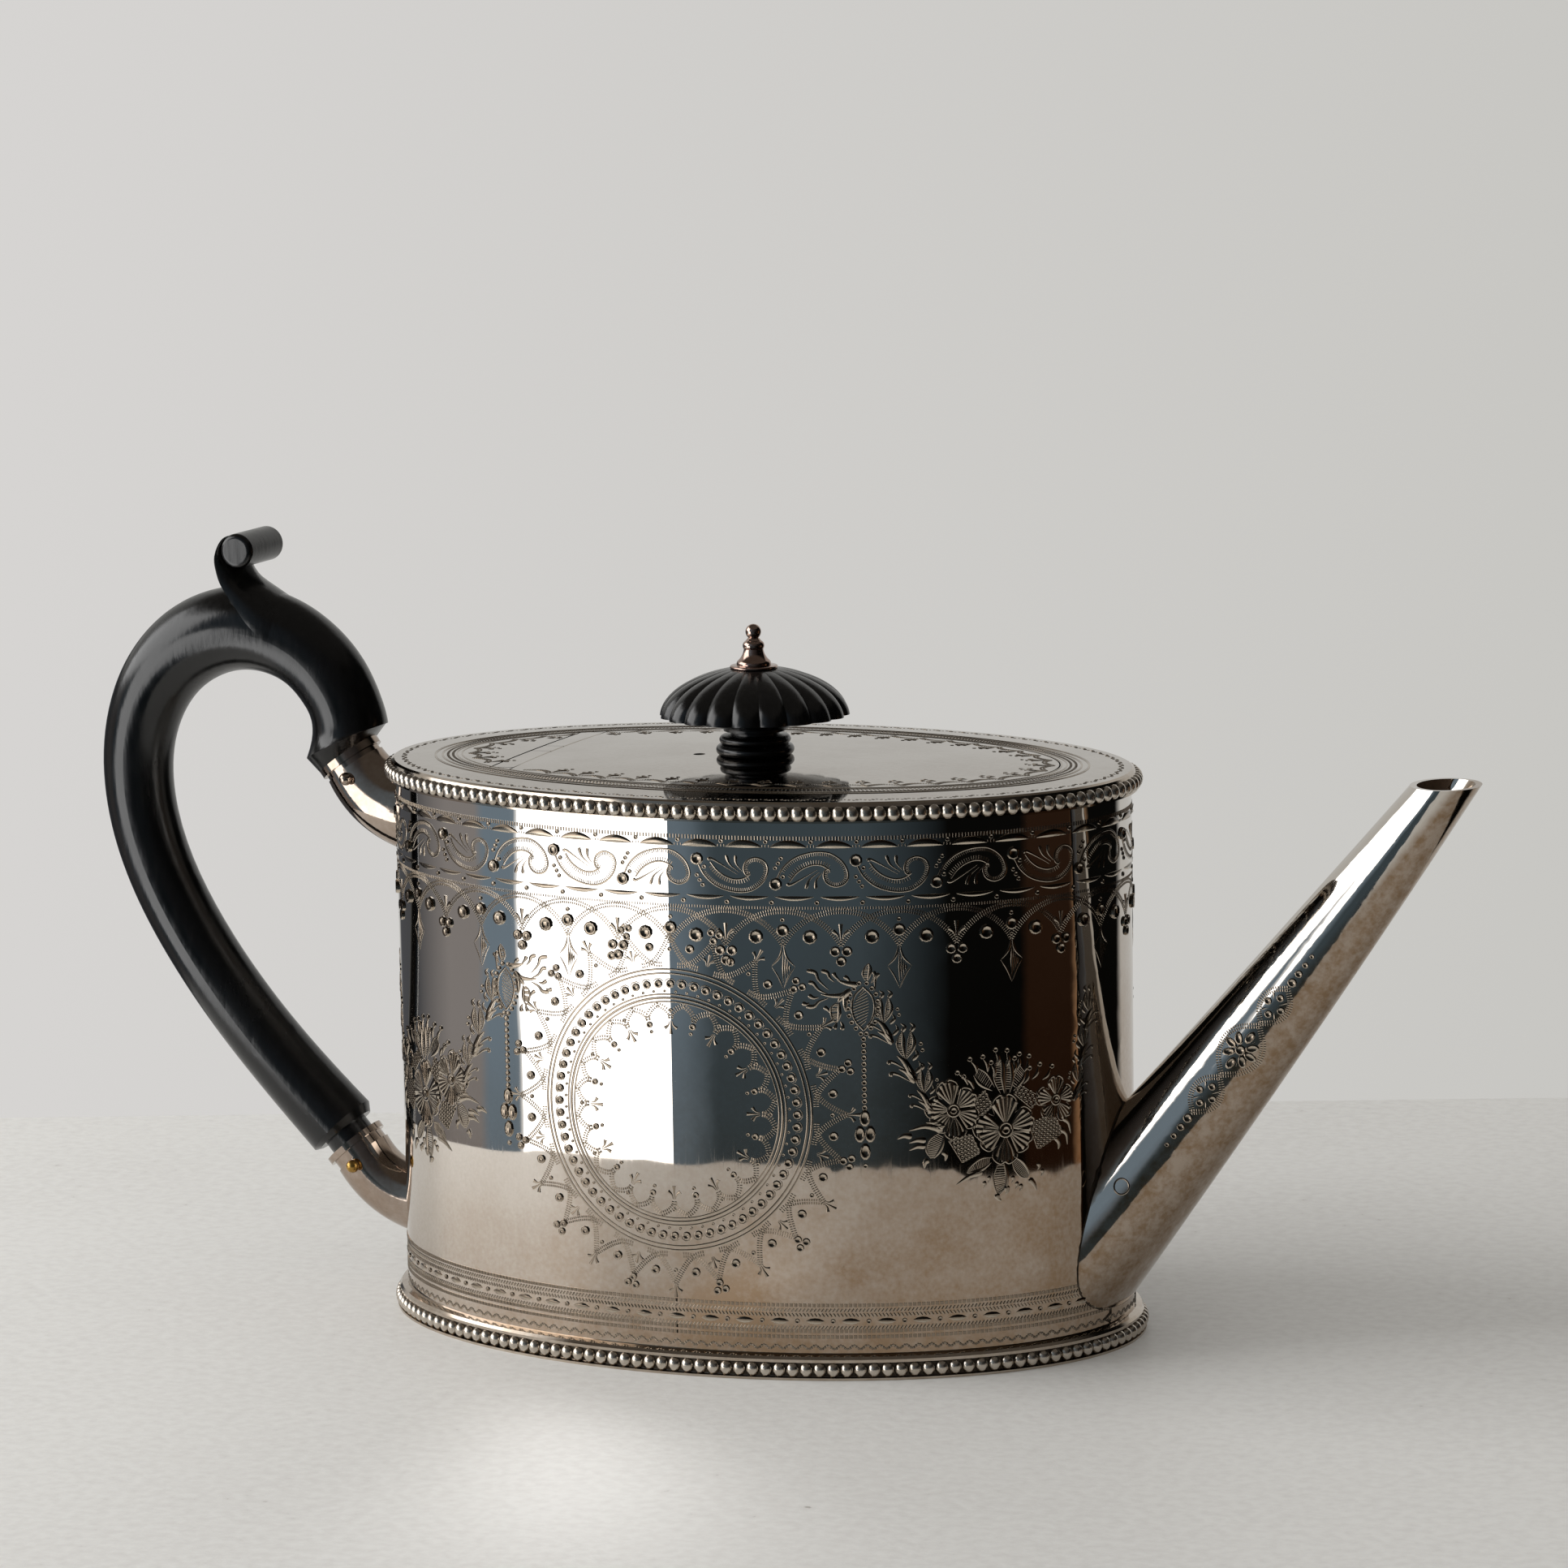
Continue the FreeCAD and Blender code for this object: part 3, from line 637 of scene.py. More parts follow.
def arcades(pen):
    """Crossing arches under the frieze, with pearls, triads, fleurs and lozenges."""
    for k in range(ARCHES * 2):
        s = ARCH_START + k * ARCH_PITCH / 2
        pen.double_ladder(arch(s, ARCH_PITCH / 2, ARCH_FOOT_Z, ARCH_RISE))
        if k % 2:
            triad(pen.moved(complex(s, 79.8)))
            three_leaf(pen.moved(complex(s, 82.4)))
            continue
        for spot, radius in ((84.3j, 1.15), (86.3j, 0.42), (-5.0+83.1j, 1.3), (5.0+83.1j, 1.3)):
            pen.punch(s + spot, radius)
        if k % ARCHES:
            lozenge(pen.moved(complex(s, 77.35)))


CARTOUCHE_Z, CARTOUCHE_SIZE = 49.8, 0.98
SHIELD_LINES = ((27.1, 0.34), (26.3, 0.34), (22.3, 0.3), (21.6, 0.42), (20.9, 0.28))
SHIELD_PEARLS, SHIELD_TIPS = 64, 24
PEARL_RING, DOT_RING = 24.3, 22.9
TENTHS = [step / 10 for step in range(11)]


def ring(radius, steps=120):
    """A closed circle."""
    return [cmath.rect(radius, 2 * math.pi * k / steps) for k in range(steps + 1)]


def cartouche(pen):
    """A round shield with a pearled border and two rows of scallops, left plain in the middle."""
    for radius, wide in SHIELD_LINES:
        pen.cut(ring(radius), even(wide))
    for k in range(SHIELD_PEARLS):
        angle = 2 * math.pi * k / SHIELD_PEARLS
        pen.punch(cmath.rect(PEARL_RING, angle), 0.78)
        pen.punch(cmath.rect(DOT_RING, angle + math.pi / SHIELD_PEARLS), 0.28)
        pen.cut([cmath.rect(PEARL_RING + 1.05 * math.cos(a), angle + 0.046 * math.sin(a))
                 for a in (-1.7, -1.0, -0.4, 0.4, 1.0, 1.7)], burin(0.22))
    for k in range(SHIELD_TIPS):
        tip = pen.moved(0j, 360 * k / SHIELD_TIPS)
        for way in (-1, 1):
            tip.double_ladder([cmath.rect(17.8 + 2.6 * t ** 0.75, math.radians(way * 7.5 * t ** 1.5))
                               for t in TENTHS])
            tip.double_ladder([cmath.rect(28.0 + 5.6 * (1 - t) ** 2.5, math.radians(way * 11.5 * t))
                               for t in TENTHS])
        tip.punch(cmath.rect(31.4, math.radians(7.5)), 0.85)
        if k % 2:
            triad(tip.moved(35.0+0j, -90), 0.72)
            three_leaf(tip.moved(28.9+0j, -90), 0.75)
            tip.punch(16.8+0j, 0.62)
            tip.punch(15.4+0j, 0.36)
        else:
            three_leaf(tip.moved(33.6+0j, -90), 0.85)
            tip.punch(31.0+0j, 0.42)
            three_leaf(tip.moved(17.3+0j, 90), 0.85)
            tip.punch(19.3+0j, 0.36)


def hatched_leaves(pen, leaves):
    """Leaves from their left and right edges, the right one bold, with close fine lines across."""
    for leaf in leaves:
        left, right = [smooth(edge, 6) for edge in leaf]
        pen.cut(left, burin(0.34))
        pen.cut(right, burin(0.62))
        pen.hatch(left[2:-1], right[2:-1], 0.3, 0.2)


def drop(pen):
    """A pointed oval with slanted lines and a border of pearls, over a string of pearls and four husks."""
    half = smooth([0j, 1.6-1.7j, 2.1-3.9j, 1.5-6.3j, -8.1j], 5)
    rim = smooth([0.7+0.7j, 2.3-1.2j, 2.75-3.9j, 2.2-6.5j, 0.5-8.7j], 5)
    for way in (1, -1):
        pen.cut([complex(way * p.real, p.imag) for p in half], even(0.34))
        for spot, _ in spaced(rim, 1.3):
            pen.punch(complex(way * spot.real, spot.imag), 0.45)
    for k in range(12):
        y = -0.9 - 0.55 * k
        room = 1.95 * math.sin(math.pi * -y / 8.1)
        pen.tick(complex(-room, y - 0.55), complex(room * 0.5, y + 0.55), 0.2)
    for k in range(12):
        pen.punch(complex(0, -9.7 - 1.17 * k), 0.48, 1.1, 1j)
    for spot in (-24.6j, -0.95-27.6j, 0.95-27.6j, -30.9j):
        pen.punch(spot, 0.92, 1.65, 1j)
    pen.punch(-33.6j, 0.45)


def bow_spray(pen):
    """Curled leaves that spread from the head of a drop: many to the left, two above."""
    pen.strokes(comma(1.1), (-1.0+0.4j, -3.0+0.7j, -4.7+1.3j),
                (-2.3-0.5j, -3.8-1.5j, -5.9-1.6j, -7.8-1.3j),
                (-2.7-0.9j, -4.1-2.2j, -4.6-2.8j), (-3.1-1.3j, -3.3-3.5j, -3.1-4.6j))
    pen.strokes(comma(0.8), (-3.4+2.0j, -2.7+1.5j, -2.3+0.7j), (-5.4+2.7j, -5.0+2.0j, -4.1+1.1j),
                (-7.6+3.1j, -6.5+2.7j, -6.1+1.8j, -5.2+0.9j),
                (-10.3+3.1j, -8.7+2.7j, -8.1+1.3j, -6.3-0.5j),
                (-10.0+0.9j, -9.1+0.7j, -8.1-0.5j, -6.3-1.4j),
                (-10.5-3.6j, -9.1-3.6j, -8.1-2.7j, -6.3-2.0j),
                (-10.0-1.5j, -9.1-2.0j, -8.1-1.9j), (-11.2-3.0j, -10.4-3.2j, -9.9-2.9j),
                (-7.2-3.7j, -6.5-4.2j, -6.2-4.8j), (-5.4-7.8j, -5.1-7.2j, -4.9-6.4j),
                (-4.0-8.0j, -3.8-7.2j, -4.2-6.4j))
    hatched_leaves(pen, (
        ((-4.8-2.8j, -5.9-3.9j, -5.8-5.6j, -5.0-6.8j), (-4.4-2.8j, -4.4-4.0j, -4.4-5.2j, -4.8-6.6j)),
        ((0.6+1.0j, 0.0+2.2j, 0.3+3.4j, 1.0+4.4j), (0.8+1.0j, 1.2+2.2j, 1.4+3.4j, 1.1+4.4j))))
    pen.strokes(comma(0.7), (3.0+2.5j, 2.3+1.5j, 2.2-0.8j), (2.0+2.9j, 2.2+1.9j, 1.5+0.6j))


def sprig(pen):
    """One joint of a branch: a bud of two hatched leaves above it, and curled leaves on the outer side."""
    pen.strokes(comma(0.8), (0j, -0.8+2.2j, -1.7+4.0j))
    hatched_leaves(pen, (
        ((-1.8+3.8j, -3.1+6.0j, -3.0+7.6j, -2.3+9.0j), (-1.7+3.8j, -2.0+6.0j, -2.0+7.4j, -2.2+9.0j)),
        ((-1.6+3.8j, -1.2+6.0j, -1.0+7.4j, -0.7+9.0j), (-1.5+3.8j, -0.3+5.6j, 0.0+7.2j, -0.6+9.0j))))
    for bend in ((-2.2+9.0j, -1.7+9.9j, -2.5+10.5j), (-0.6+9.0j, 0.0+9.9j, -0.8+10.6j),
                 (-0.4+3.6j, 0.6+4.6j, 0.1+5.6j), (0.2+1.2j, 1.2+2.3j, 0.8+3.4j)):
        hook(pen, *bend, 0.8)
    pen.punch(1.2+6.6j, 0.4)
    pen.punch(1.5+5.4j, 0.4)
    pen.strokes(comma(1.3), (-0.2+0.4j, -1.8+3.2j, -3.2+4.5j), (0.1-0.6j, -1.3+1.2j, -2.9+2.0j))
    pen.strokes(comma(0.75), (-4.5+0.6j, -4.2+1.2j, -2.8+0.8j, -0.6-0.6j),
                (-4.9+2.9j, -4.5+3.4j, -3.4+3.0j, -1.6+1.8j))


def petal(pen, long, wide):
    """A petal of broad cuts that spread to a scalloped end."""
    for side in (-2, -1, 0, 1, 2):
        root, middle = 0.24 * long + 0.03j * wide * side, 0.6 * long + 0.15j * wide * side
        end = long * (1 - 0.05 * side * side) + 0.21j * wide * side
        pen.cut(smooth([root, middle, end], 4), lambda t: wide * (0.04 + 0.2 * t ** 0.8))
    rim = smooth([0.5 * long - 0.44j * wide, 0.86 * long - 0.5j * wide, 1.06 * long - 0.2j * wide,
                  0.99 * long + 0j, 1.06 * long + 0.2j * wide, 0.86 * long + 0.5j * wide,
                  0.5 * long + 0.44j * wide], 4)
    pen.cut(rim, burin(0.4))


def flower(pen, size, turns):
    """A flower seen from the front: a ringed eye and a petal at each turn."""
    pen.punch(0j, 0.13 * size)
    pen.cut([p * 0.22 * size for p in ring(1.0, 14)], even(0.4))
    for turn, long in turns:
        petal(pen.moved(0j, turn), long * size, 0.8 * size)


NET_MESH = 0.72


def netted(pen, a, b, c, d):
    """A patch of four corners filled with a net, whose meshes are small hollows."""
    rows, columns = round(abs(d - a) / NET_MESH), round(abs(b - a) / NET_MESH)
    for row in range(rows + 1):
        start, end = a + (d - a) * row / rows, b + (c - b) * row / rows
        for column in range(columns):
            pen.punch(start + (end - start) * (column + 0.25 + 0.5 * (row % 2)) / columns, 0.34)
    for start, end in ((a, b), (b, c), (c, d), (d, a)):
        pen.tick(start, end, 0.26)


def stalked(pen, *balls):
    """Small balls, each on a short bent stalk that points at the middle of the bunch."""
    for ball in balls:
        inward = -ball / abs(ball)
        pen.punch(ball, 0.48)
        pen.strokes(burin(0.55), [ball + inward * bend for bend in (0.4, 1.8+0.4j, 3.2)])


def bunch(pen):
    """Flowers with netted leaves between them, and hatched leaves and stalked balls above and below."""
    flower(pen, 6.0, ((92, 1.05), (165, 1.0), (200, 0.85), (22, 0.95), (-32, 0.9), (-92, 1.0)))
    flower(pen.moved(-10.1+4.4j), 5.0,
           ((105, 1.1), (40, 0.95), (-25, 0.95), (-85, 1.0), (-140, 0.9), (168, 1.0)))
    flower(pen.moved(10.8+4.5j), 4.2, ((90, 1.0), (162, 1.0), (18, 0.9), (-54, 1.0), (-126, 0.9)))
    netted(pen, -6.4+5.7j, -4.0+7.8j, -2.7+4.9j, -4.8+3.3j)
    netted(pen, 1.9+6.6j, 3.0+8.2j, 7.6+5.4j, 5.2+3.7j)
    netted(pen, 4.9+0.5j, 10.2+2.0j, 12.2-1.7j, 6.6-4.2j)
    netted(pen, -11.0-1.3j, -6.7-0.4j, -5.2-3.7j, -8.6-5.3j)
    hatched_leaves(pen, (
        ((-0.9+6.8j, -2.1+9.6j, -1.9+12.4j, -1.4+13.6j), (-0.2+6.9j, -0.5+9.6j, -0.5+12.0j, -0.8+13.4j)),
        ((0.1+6.9j, 0.1+9.6j, 0.2+12.0j, 0.4+13.4j), (0.9+6.9j, 1.4+9.4j, 1.2+12.0j, 0.6+13.4j)),
        ((-2.1+8.2j, -3.6+10.9j, -5.6+12.2j), (-2.6+7.6j, -4.9+9.0j, -6.2+10.8j)),
        ((1.0+7.6j, 1.9+10.4j, 3.2+12.2j), (1.6+7.2j, 3.4+8.9j, 4.2+10.8j)),
        ((-1.3-5.7j, -2.5-8.4j, -2.3-10.8j, -1.5-12.6j), (-0.5-5.8j, 0.1-8.4j, 0.0-10.4j, -0.7-11.6j)),
        ((-2.6-5.0j, -4.8-5.0j, -6.8-6.2j, -7.8-7.6j), (-2.9-5.9j, -4.6-7.0j, -6.2-7.4j, -7.6-7.6j)),
        ((1.2-5.6j, 1.7-7.6j, 3.0-9.2j, 4.5-9.6j), (1.6-5.2j, 3.4-6.4j, 4.4-7.8j, 4.8-9.2j)),
        ((-12.4+0.6j, -14.6-0.8j, -15.3-2.8j, -14.4-4.5j),
         (-11.9+0.2j, -12.3-1.9j, -12.9-3.2j, -13.9-4.4j))))
    pen.strokes(comma(1.1), (-4.8-7.6j, -7.2-8.2j, -9.7-9.6j), (4.8-9.8j, 5.7-10.8j, 6.3-12.2j),
                (-2.0-12.0j, -1.6-12.9j, -1.0-13.4j), (0.1-10.6j, 0.1-11.6j, -0.2-12.2j))
    for spot in (-4.5-9.4j, -3.6-8.5j, 1.2-8.9j, 2.0-10.1j, 2.8-10.6j, 6.6-7.0j, 7.4-8.3j):
        hook(pen, spot, spot + 0.3 - 0.6j, spot - 0.1 - 1.3j, 0.8)
    stalked(pen, -1.9+15.3j, 0.4+15.0j, -6.9+13.9j, -4.4+14.2j, -2.8+13.0j, 1.9+13.4j, 2.9+14.1j,
            4.9+13.5j, 5.0+11.2j, 7.2+11.7j, 9.9+11.0j, -9.3+11.5j, -8.1+10.7j)
    pen.strokes(comma(1.15), (-11.8+1.3j, -13.6+2.3j, -15.3+2.4j), (-12.2+0.9j, -15.4+1.7j, -18.5+1.0j),
                (-18.0-0.1j, -19.4+0.1j, -20.7-0.5j), (-15.4-0.9j, -17.0-0.8j, -18.5-1.3j),
                (-15.5-2.0j, -17.0-2.0j, -18.5-2.7j), (-15.0-4.6j, -15.6-5.2j, -15.7-6.2j))
    pen.strokes(comma(0.95), (-12.2-3.2j, -11.6-4.0j, -11.8-5.0j), (11.8-1.2j, 13.2-2.4j, 13.4-4.4j),
                (12.4+0.8j, 13.8-0.4j, 14.2-2.4j), (10.6-2.6j, 11.4-3.8j, 11.2-5.0j))


GARLAND_S, GARLAND_Z = 36.3, 73.75


def garland(pen):
    """A drop with its spray of leaves, a branch that falls from it to a bunch of flowers, and one that
    rises beyond."""
    drop(pen)
    bow_spray(pen)
    for spot, size in ((5.2-10.2j, 0.9), (9.3-17.5j, 1.0), (12.4-23.4j, 0.85)):
        sprig(pen.moved(spot, 0, False, size))
    bunch(pen.moved(26.6-28.2j))
    for spot, size in ((41.6-24.0j, 0.75), (43.0-17.6j, 0.8), (44.6-11.0j, 0.75)):
        sprig(pen.mirrored(spot).moved(0j, 0, False, size))


def faces(pen, draw):
    """The same work on the front and on the back of the drum."""
    for middle in (0.0, GIRTH / 2):
        draw(pen.moved(complex(middle, 0)))


def cartouches(pen):
    faces(pen, lambda face: cartouche(face.moved(complex(0, CARTOUCHE_Z), 0, False, CARTOUCHE_SIZE)))


def garlands(pen):
    faces(pen, lambda face: garland(face.moved(complex(GARLAND_S, GARLAND_Z))))
    faces(pen, lambda face: garland(face.mirrored(complex(-GARLAND_S, GARLAND_Z))))


FOOT_LENSES, FOOT_LENS_Z = 58, 10.75
FOOT_WAVES, WAVE_STEPS, WAVE_Z = 160, 8, 5.8


def foot_bands(pen):
    """Rows of dots, ticks and long lens cuts above the foot, and a ticked wavy line."""
    for z in (13.45, 8.55, 7.45):
        pen.ladder(level(z), 0.0, 0.6, 0.85, 0.55)
    for z, lean in ((12.5, 0.2), (11.6, -0.2), (9.2, 0.2)):
        for spot, _ in spaced(level(z), 0.7):
            pen.tick(spot - lean, spot + lean + 0.6j, 0.32)
    for s in around(FOOT_LENSES):
        pen.cut([complex(s + dx, FOOT_LENS_Z) for dx in (-1.7, -0.9, 0, 0.9, 1.7)], burin(1.05))
        pen.punch(complex(s + GIRTH / FOOT_LENSES / 2, FOOT_LENS_Z), 0.45)
    steps = FOOT_WAVES * WAVE_STEPS
    wave = [complex(GIRTH * k / steps, WAVE_Z + 0.36 * math.cos(2 * math.pi * k / WAVE_STEPS))
            for k in range(steps + 1)]
    pen.ladder(wave, -0.25, 0.25, 0.5, 0.26)
    pen.cut(wave, even(0.24))


SWAGS = 45


def border_run(inset, count=400):
    """A line round the top at one distance from the drum's edge."""
    return [complex(LID_OVAL.girth * k / count, inset) for k in range(count + 1)]


def plate_border(pen):
    """Lines, ticks and a wavy line on the top plate, round the lid."""
    for inset, wide in ((8.0, 0.4), (9.4, 0.34), (12.2, 0.26), (13.2, 0.26)):
        pen.cut(border_run(inset), even(wide))
    wave = [complex(p.real, 1.9 + 0.35 * math.cos(p.real * 2.6)) for p in border_run(0, 1500)]
    pen.ladder(wave, -0.25, 0.25, 0.7, 0.26)
    for inset in (10.2, 11.2):
        pen.ladder(border_run(inset), 0.0, 0.5, 0.7, 0.26)
    swags(pen, lambda x: x < HINGE_X - 3.6)


def swags(pen, wanted):
    """Little swags and curls inside the lid's edge, where the hinge leaves room for them."""
    half = LID_OVAL.girth / SWAGS / 2
    quarters = [k / 4 for k in range(-4, 5)]
    for k in range(SWAGS):
        s = LID_OVAL.girth * (k + 0.5) / SWAGS
        if not wanted((DRUM_A - LID_BORDER_INSET) * math.cos(float(LID_OVAL.angle(s)))):
            continue
        pen.double_ladder([complex(s + half * t, 14.9 + 1.5 * (1 - t * t)) for t in quarters])
        root = s + half
        pen.strokes(burin(0.5), [root + p for p in (15.6j, -0.4+17.6j, 0.9+18.6j, 1.5+17.7j)])
        for spot in (-1.4+18.2j, -0.9+19.2j, 0.1+19.9j):
            hook(pen, root + spot, root + spot + 0.5 + 0.3j, root + spot + 0.8 - 0.3j, 0.42)


def lid_border(pen):
    """The part of the swags that is on the lid."""
    swags(pen, lambda x: x > HINGE_X + 3.5)


# The middle of the spout's row of marks, a lower spot of that row, and the ring near the root.
SPOUT_ROW, SPOUT_ROW_LOW, SPOUT_RING = 97.6+58.6j, 89.9+48.2j, 75.9+32.4j
SPOUT_LEAN = math.degrees(cmath.phase(SPOUT_ROW - SPOUT_ROW_LOW))


def ticked_vesica(pen, long, wide):
    """A pointed oval with a border of two rows of ticks."""
    for way in (-1, 1):
        shoulder = way * wide * 0.72
        pen.double_ladder(smooth([complex(-long, 0), complex(-long * 0.55, shoulder), complex(0, way * wide),
                                  complex(long * 0.55, shoulder), complex(long, 0)], 5))


def spout_marks(pen):
    """A rosette in a pointed oval between two smaller ones, with dots that run out to both ends."""
    row = pen.moved(SPOUT_ROW, SPOUT_LEAN)
    ticked_vesica(row, 5.9, 3.9)
    row.punch(0j, 0.95)
    for k in range(8):
        heading = cmath.rect(1.0, math.radians(45 * k))
        reach = 3.0 if k % 4 == 0 else 2.2
        row.punch(heading * reach, 0.72, 1.75, heading)
        spoke = cmath.rect(1.0, math.radians(45 * k + 22.5))
        row.cut([spoke * 2.5, spoke * 3.2], burin(0.5))
    for way in (-1, 1):
        small = row.moved(complex(way * 10.6, 0))
        ticked_vesica(small, 4.2, 2.7)
        small.tick(-1.9-1.5j, 1.9+1.5j, 0.34)
        small.tick(-1.9+1.5j, 1.9-1.5j, 0.34)
        for spot in (-1.9+0j, 1.9+0j, 1.5j, -1.5j):
            small.punch(spot, 0.7)
        for k in range(4):
            row.punch(complex(way * (16.2 + 2.1 * k), 0), 0.85 - 0.14 * k)
    pen.cut([SPOUT_RING + p for p in ring(1.45, 24)], even(0.3))


SEAM_LOW, SEAM_HIGH = 5.0, 62.0


def spout_seam(pen):
    """A dark line where the spout meets the wall, painted shade and tarnish in the crevice, found level by
    level on the near side.
    """
    line = []
    for z in np.arange(SEAM_LOW, SEAM_HIGH, 0.8):
        for s in np.arange(GIRTH / 8, GIRTH / 4, 0.2):
            x, y = DRUM.lay(np.array([s]), np.array([0.0]))[0]
            spot = Vector((x, y, z)) * MM
            near, normal, _, _ = SPOUT_SKIN.find_nearest(spot)
            if (spot - near).dot(normal) < 0:
                line.append(complex(s, z))
                break
    pen.cut(line, even(0.6))
    pen.cut([complex(GIRTH / 2 - p.real, p.imag) for p in line], even(0.6))


# Beaded wires


def bead():
    """One round bead, as a few faces."""
    bm = bmesh.new()
    bmesh.ops.create_uvsphere(bm, u_segments=10, v_segments=7, radius=1.0)
    for face in bm.faces:
        face.smooth = True
    return finished("bead", bm)


BEAD = bead()
BEADS = 156
# The beads' half width and half height, how far out their middles lie, and the strip behind them.
BEAD_WIDE, BEAD_HIGH, BEAD_OUT = 1.32, 1.42, 0.2
STRIP_HIGH, STRIP_THICK, STRIP_SIDES = 2.4, 0.25, 180


def beaded_wire(name, z, seat, out, node):
    """A wire of round beads soldered to a narrow strip, which takes the dark finish: painted shade between
    the beads, with oxide.
    """
    path = Oval(DRUM_A + seat, DRUM_B + seat)
    bm = bmesh.new()
    bmesh.ops.create_circle(bm, segments=STRIP_SIDES, radius=1.0)
    bmesh.ops.scale(bm, vec=(path.a * MM, path.b * MM, 1.0), verts=bm.verts)
    bmesh.ops.translate(bm, vec=(0, 0, (z - STRIP_HIGH / 2) * MM), verts=bm.verts)
    raised = bmesh.ops.extrude_edge_only(bm, edges=bm.edges)["geom"]
    upper = [part for part in raised if isinstance(part, bmesh.types.BMVert)]
    bmesh.ops.translate(bm, vec=(0, 0, STRIP_HIGH * MM), verts=upper)
    bmesh.ops.recalc_face_normals(bm, faces=bm.faces)
    bmesh.ops.solidify(bm, geom=bm.faces, thickness=-STRIP_THICK * MM)
    # The strip behind the beads is painted dark: painted shade in the gaps between them, with oxide.
    for face in bm.faces:
        face.material_index = 1
    places = np.arange(BEADS) * path.girth / BEADS
    middles = path.lay(places, np.full(BEADS, BEAD_OUT))
    rims = path.lay(places, np.full(BEADS, out - seat))
    for middle, rim in zip(middles, rims):
        away = rim - middle
        ball = BEAD.copy()
        ball.transform(Matrix.Translation((middle[0] * MM, middle[1] * MM, z * MM))
                       @ Matrix.Rotation(math.atan2(away[1], away[0]), 4, "Z")
                       @ Matrix.Diagonal((np.linalg.norm(away) * MM, BEAD_WIDE * MM, BEAD_HIGH * MM, 1.0)))
        bm.from_mesh(ball)
        bpy.data.meshes.remove(ball)
    piece = new_piece(name, bm, [BEAD_SILVER, DARK_OXIDE_AND_SHADE_SILVER], "pot")
    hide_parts(node)


beaded_wire("round_foot_beads", 1.83, 1.2, 2.65, "foot_beading")
beaded_wire("round_top_beads", 106.05, 0.9, 2.2, "top_beading")

engraved("engraved_frieze", frieze, lay_on_wall, "pot")
engraved("engraved_arcades", arcades, lay_on_wall, "pot")
engraved("engraved_cartouches", cartouches, lay_on_wall, "pot")
engraved("engraved_garlands", garlands, lay_on_wall, "pot")
engraved("engraved_foot_bands", foot_bands, lay_on_wall, "pot")
engraved("engraved_plate_border", plate_border, lay_on_top, "pot")
engraved("engraved_lid_border", lid_border, lay_on_top, "lid")
engraved("engraved_spout_front", spout_marks, lay_on_spout, "pot")
engraved("engraved_spout_back", spout_marks, lay_on_far_spout, "pot")
# A dark line along the spout's joint: painted shade in the crevice, with tarnish.
engraved("joint_shade_and_tarnish_line", spout_seam, lay_on_wall, "pot", DARK_OXIDE_AND_SHADE_SILVER)
bpy.data.objects.remove(GROOVE)


# Stage, light and camera


# The board's half sides and its back edge, its turn in degrees, and how far reflections see it, in metres.
TABLE_LONG, TABLE_WIDE, TABLE_BACK = 3.0, 1.6, 0.185
TABLE_TURN = 19.4
TABLE_SEEN = 0.225
TABLE_TONES = ((0.3, "#8E887F"), (0.42, "#DAD8D5"), (0.8, "#E4E3E0"))


def stage_floor():
    """A pale painted board. For reflections it ends a hand away, so that the drum also mirrors the room."""
    bm = bmesh.new()
    bmesh.ops.create_grid(bm, x_segments=1, y_segments=1, size=1.0)
    bmesh.ops.scale(bm, vec=(TABLE_LONG, TABLE_WIDE, 1.0), verts=bm.verts)
    bmesh.ops.translate(bm, vec=(0, TABLE_BACK - TABLE_WIDE, 0), verts=bm.verts)
    bmesh.ops.rotate(bm, matrix=Matrix.Rotation(math.radians(TABLE_TURN), 3, "Z"), verts=bm.verts)
    mesh = finished("floor", bm)
    made, tree, shader, place = blank("painted_board")
    specks = add(tree, "TexNoise", {"Vector": place, "Scale": per_mm(2.4), "Detail": 3.0})
    worn = add(tree, "TexNoise", {"Vector": place, "Scale": per_mm(70.0), "Detail": 5.0})
    mixed = add(tree, "Math", {0: worn, 1: 0.35, 2: specks}, operation="MULTIPLY_ADD")
    colour = add(tree, "ValToRGB", {"Fac": mixed}, stops=TABLE_TONES)
    bump = add(tree, "Bump", {"Height": specks, "Strength": 0.25, "Distance": 0.4 * MM})
    fill(shader, {"Base Color": colour, "Roughness": 0.5, "Normal": bump})
    reach = add(tree, "VectorMath", {0: place}, "Value", operation="LENGTH")
    outside = add(tree, "Math", {0: reach, 1: TABLE_SEEN}, operation="GREATER_THAN")
    mirrored = add(tree, "LightPath", {}, "Is Glossy Ray")
    gone = add(tree, "Math", {0: outside, 1: mirrored}, operation="MULTIPLY")
    clear = add(tree, "BsdfTransparent", {})
    either = add(tree, "MixShader", {0: gone, 1: shader.outputs[0], 2: clear})
    fill(tree.nodes["Material Output"], {"Surface": either})
    mesh.materials.append(made)
    floor = bpy.data.objects.new("floor", mesh)
    scene.collection.objects.link(floor)


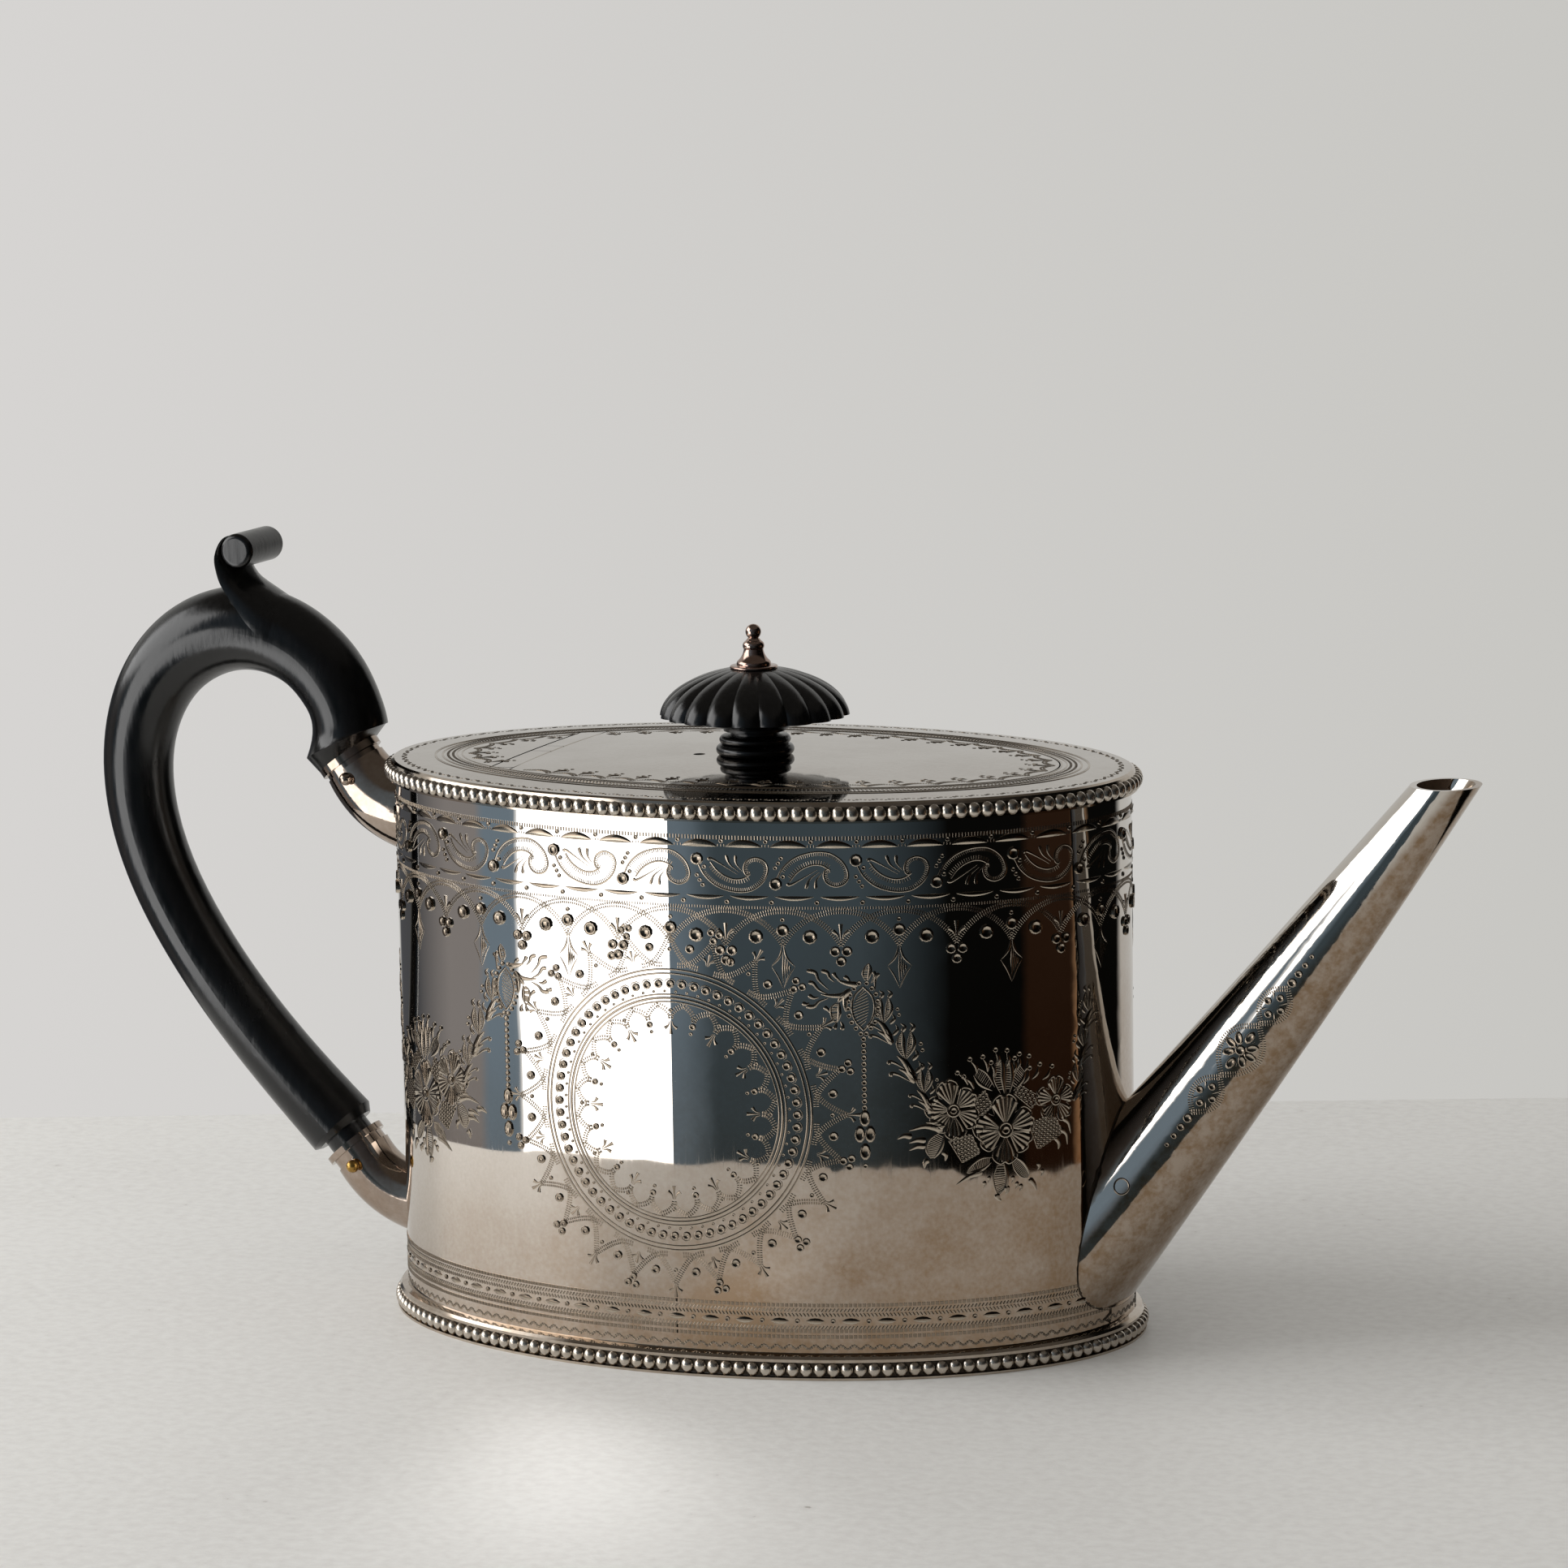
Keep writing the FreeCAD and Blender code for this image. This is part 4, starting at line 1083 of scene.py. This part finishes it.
# What the silver mirrors: a plain room of a few tones, each with the bearing in degrees from the front where
# it starts and ends. A tall window stands at the left, a dark corner at the right and wooden shelves beyond
# it. At the back, PALE times ROOM_GAIN is the tone of the backdrop there.
WINDOW, PALE, GREY, DIM = "#FFFFFF", "#B2B1AE", "#7C7877", "#444548"
BLUE, SLATE, BLACK, WOOD, TAN = "#687682", "#384248", "#080807", "#24170F", "#876A50"
LOW_ROOM = ((-180, PALE), (-148, PALE), (-140, DIM), (-112, DIM), (-88, GREY), (-74, GREY), (-71, BLUE),
            (-60.5, BLUE), (-59, WINDOW), (-22.5, WINDOW), (-21, BLUE), (-12, SLATE), (20, SLATE),
            (45, BLACK), (72, BLACK), (76, WOOD), (101, WOOD), (105, TAN), (111, TAN), (115, BLACK),
            (147, BLACK), (154, PALE))
HIGH_ROOM = ((-180, PALE), (-102, PALE), (-97, WINDOW), (-41, WINDOW), (-38, BLUE), (-20, BLUE), (10, DIM),
             (66, BLACK), (146, BLACK), (154, PALE))
CEILING = "#57534E"
ROOM_GAIN, WINDOW_GAIN = 1.3, 3.5
# The heights of view, as sines, between which the low room turns into the high one and that into the ceiling.
HIGH_STARTS, HIGH_FULL, CEILING_STARTS, CEILING_FULL = 0.06, 0.14, 0.58, 0.72
# The backdrop's tones by bearing: paler at the left, towards the window, and darker to the right, as painted
# window light on it.
BACKDROP_WITH_PAINTED_LIGHT = ((0.0, "#C8C7C4"), (0.03, "#C6C5C1"), (0.078, "#D6D4D2"), (0.3, "#D6D4D2"), (0.7, "#C8C7C4"))
SOFT_LIGHT, SOFT_GAIN = "#F2F0EC", 0.55


def studio():
    """A pale backdrop for the camera, a room with a window and a dim ceiling for reflections, and an even
    soft light for dull surfaces."""
    world = bpy.data.worlds.new("studio")
    scene.world = world
    world.use_nodes = True
    tree = world.node_tree
    tree.nodes.clear()
    heading = add(tree, "TexCoord", {}, "Generated")
    axis = add(tree, "SeparateXYZ", {"Vector": heading}).node.outputs
    front = add(tree, "Math", {0: axis["Y"], 1: -1.0}, operation="MULTIPLY")
    turn = add(tree, "Math", {0: axis["X"], 1: front}, operation="ARCTAN2")
    share = add(tree, "MapRange", {"Value": turn, "From Min": -math.pi, "From Max": math.pi})
    low, high = [add(tree, "ValToRGB", {"Fac": share},
                     stops=[((bearing + 180) / 360, code) for bearing, code in room])
                 for room in (LOW_ROOM, HIGH_ROOM)]
    lifted = add(tree, "MapRange", {"Value": axis["Z"], "From Min": HIGH_STARTS, "From Max": HIGH_FULL})
    walls = add(tree, "Mix", {"Factor": lifted, "A": low, "B": high}, "Result", data_type="RGBA")
    white = add(tree, "SeparateColor", {"Color": walls})
    glow = add(tree, "MapRange", {"Value": white, "From Min": 0.8, "From Max": 1.0,
                                  "To Min": ROOM_GAIN, "To Max": WINDOW_GAIN})
    lit = add(tree, "VectorMath", {0: walls, "Scale": glow}, operation="SCALE")
    above = add(tree, "MapRange", {"Value": axis["Z"], "From Min": CEILING_STARTS, "From Max": CEILING_FULL})
    mirrored = add(tree, "Mix", {"Factor": above, "A": lit, "B": linear(CEILING)}, "Result", data_type="RGBA")
    backdrop = add(tree, "ValToRGB", {"Fac": share}, stops=BACKDROP_WITH_PAINTED_LIGHT)
    rays = add(tree, "LightPath", {}).node.outputs
    shown = add(tree, "Mix", {"Factor": rays["Is Glossy Ray"], "A": backdrop, "B": mirrored}, "Result",
                data_type="RGBA")
    light = add(tree, "Background", {"Color": shown, "Strength": 1.0})
    soft = add(tree, "Background", {"Color": linear(SOFT_LIGHT), "Strength": SOFT_GAIN})
    either = add(tree, "MixShader", {0: rays["Is Diffuse Ray"], 1: light, 2: soft})
    fill(tree.nodes.new("ShaderNodeOutputWorld"), {"Surface": either})


def soft_lamp(name, spot, aim, size, power, spread=180.0):
    """A soft box that lights diffuse surfaces and stays out of reflections."""
    lamp = bpy.data.lights.new(name, "AREA")
    lamp.shape = "RECTANGLE"
    lamp.size, lamp.size_y = size
    lamp.energy = power
    lamp.spread = math.radians(spread)
    holder = bpy.data.objects.new(name, lamp)
    holder.location = spot
    holder.rotation_euler = (Vector(aim) - Vector(spot)).to_track_quat("-Z", "Y").to_euler()
    holder.visible_glossy = False
    holder.visible_camera = False
    scene.collection.objects.link(holder)


def photo_camera():
    """The camera of the photo, worked out from the two beaded ovals: its axes, place and lens."""
    right, up = (0.9381, 0.3460, -0.0164), (-0.0388, 0.1523, 0.9876)
    back, eye = (0.3442, -0.9258, 0.1563), (0.3814, -1.0122, 0.2746)
    lens = bpy.data.cameras.new("camera")
    lens.sensor_width = 36.0
    lens.lens = 131.31
    holder = bpy.data.objects.new("camera", lens)
    rows = [(right[k], up[k], back[k], eye[k]) for k in range(3)]
    holder.matrix_world = Matrix(rows + [(0, 0, 0, 1)])
    scene.collection.objects.link(holder)
    scene.camera = holder


stage_floor()
studio()
soft_lamp("window", (-0.8, -0.3, 0.6), (0, 0, 0.02), (0.7, 0.7), 7.5)
# The polished wall throws the window's light back onto the board in front of the pot.
soft_lamp("thrown_light", (-0.016, -0.054, 0.05), (0.008, -0.115, 0.0), (0.026, 0.08), 0.006, 50.0)
photo_camera()
scene.view_settings.view_transform = "Standard"
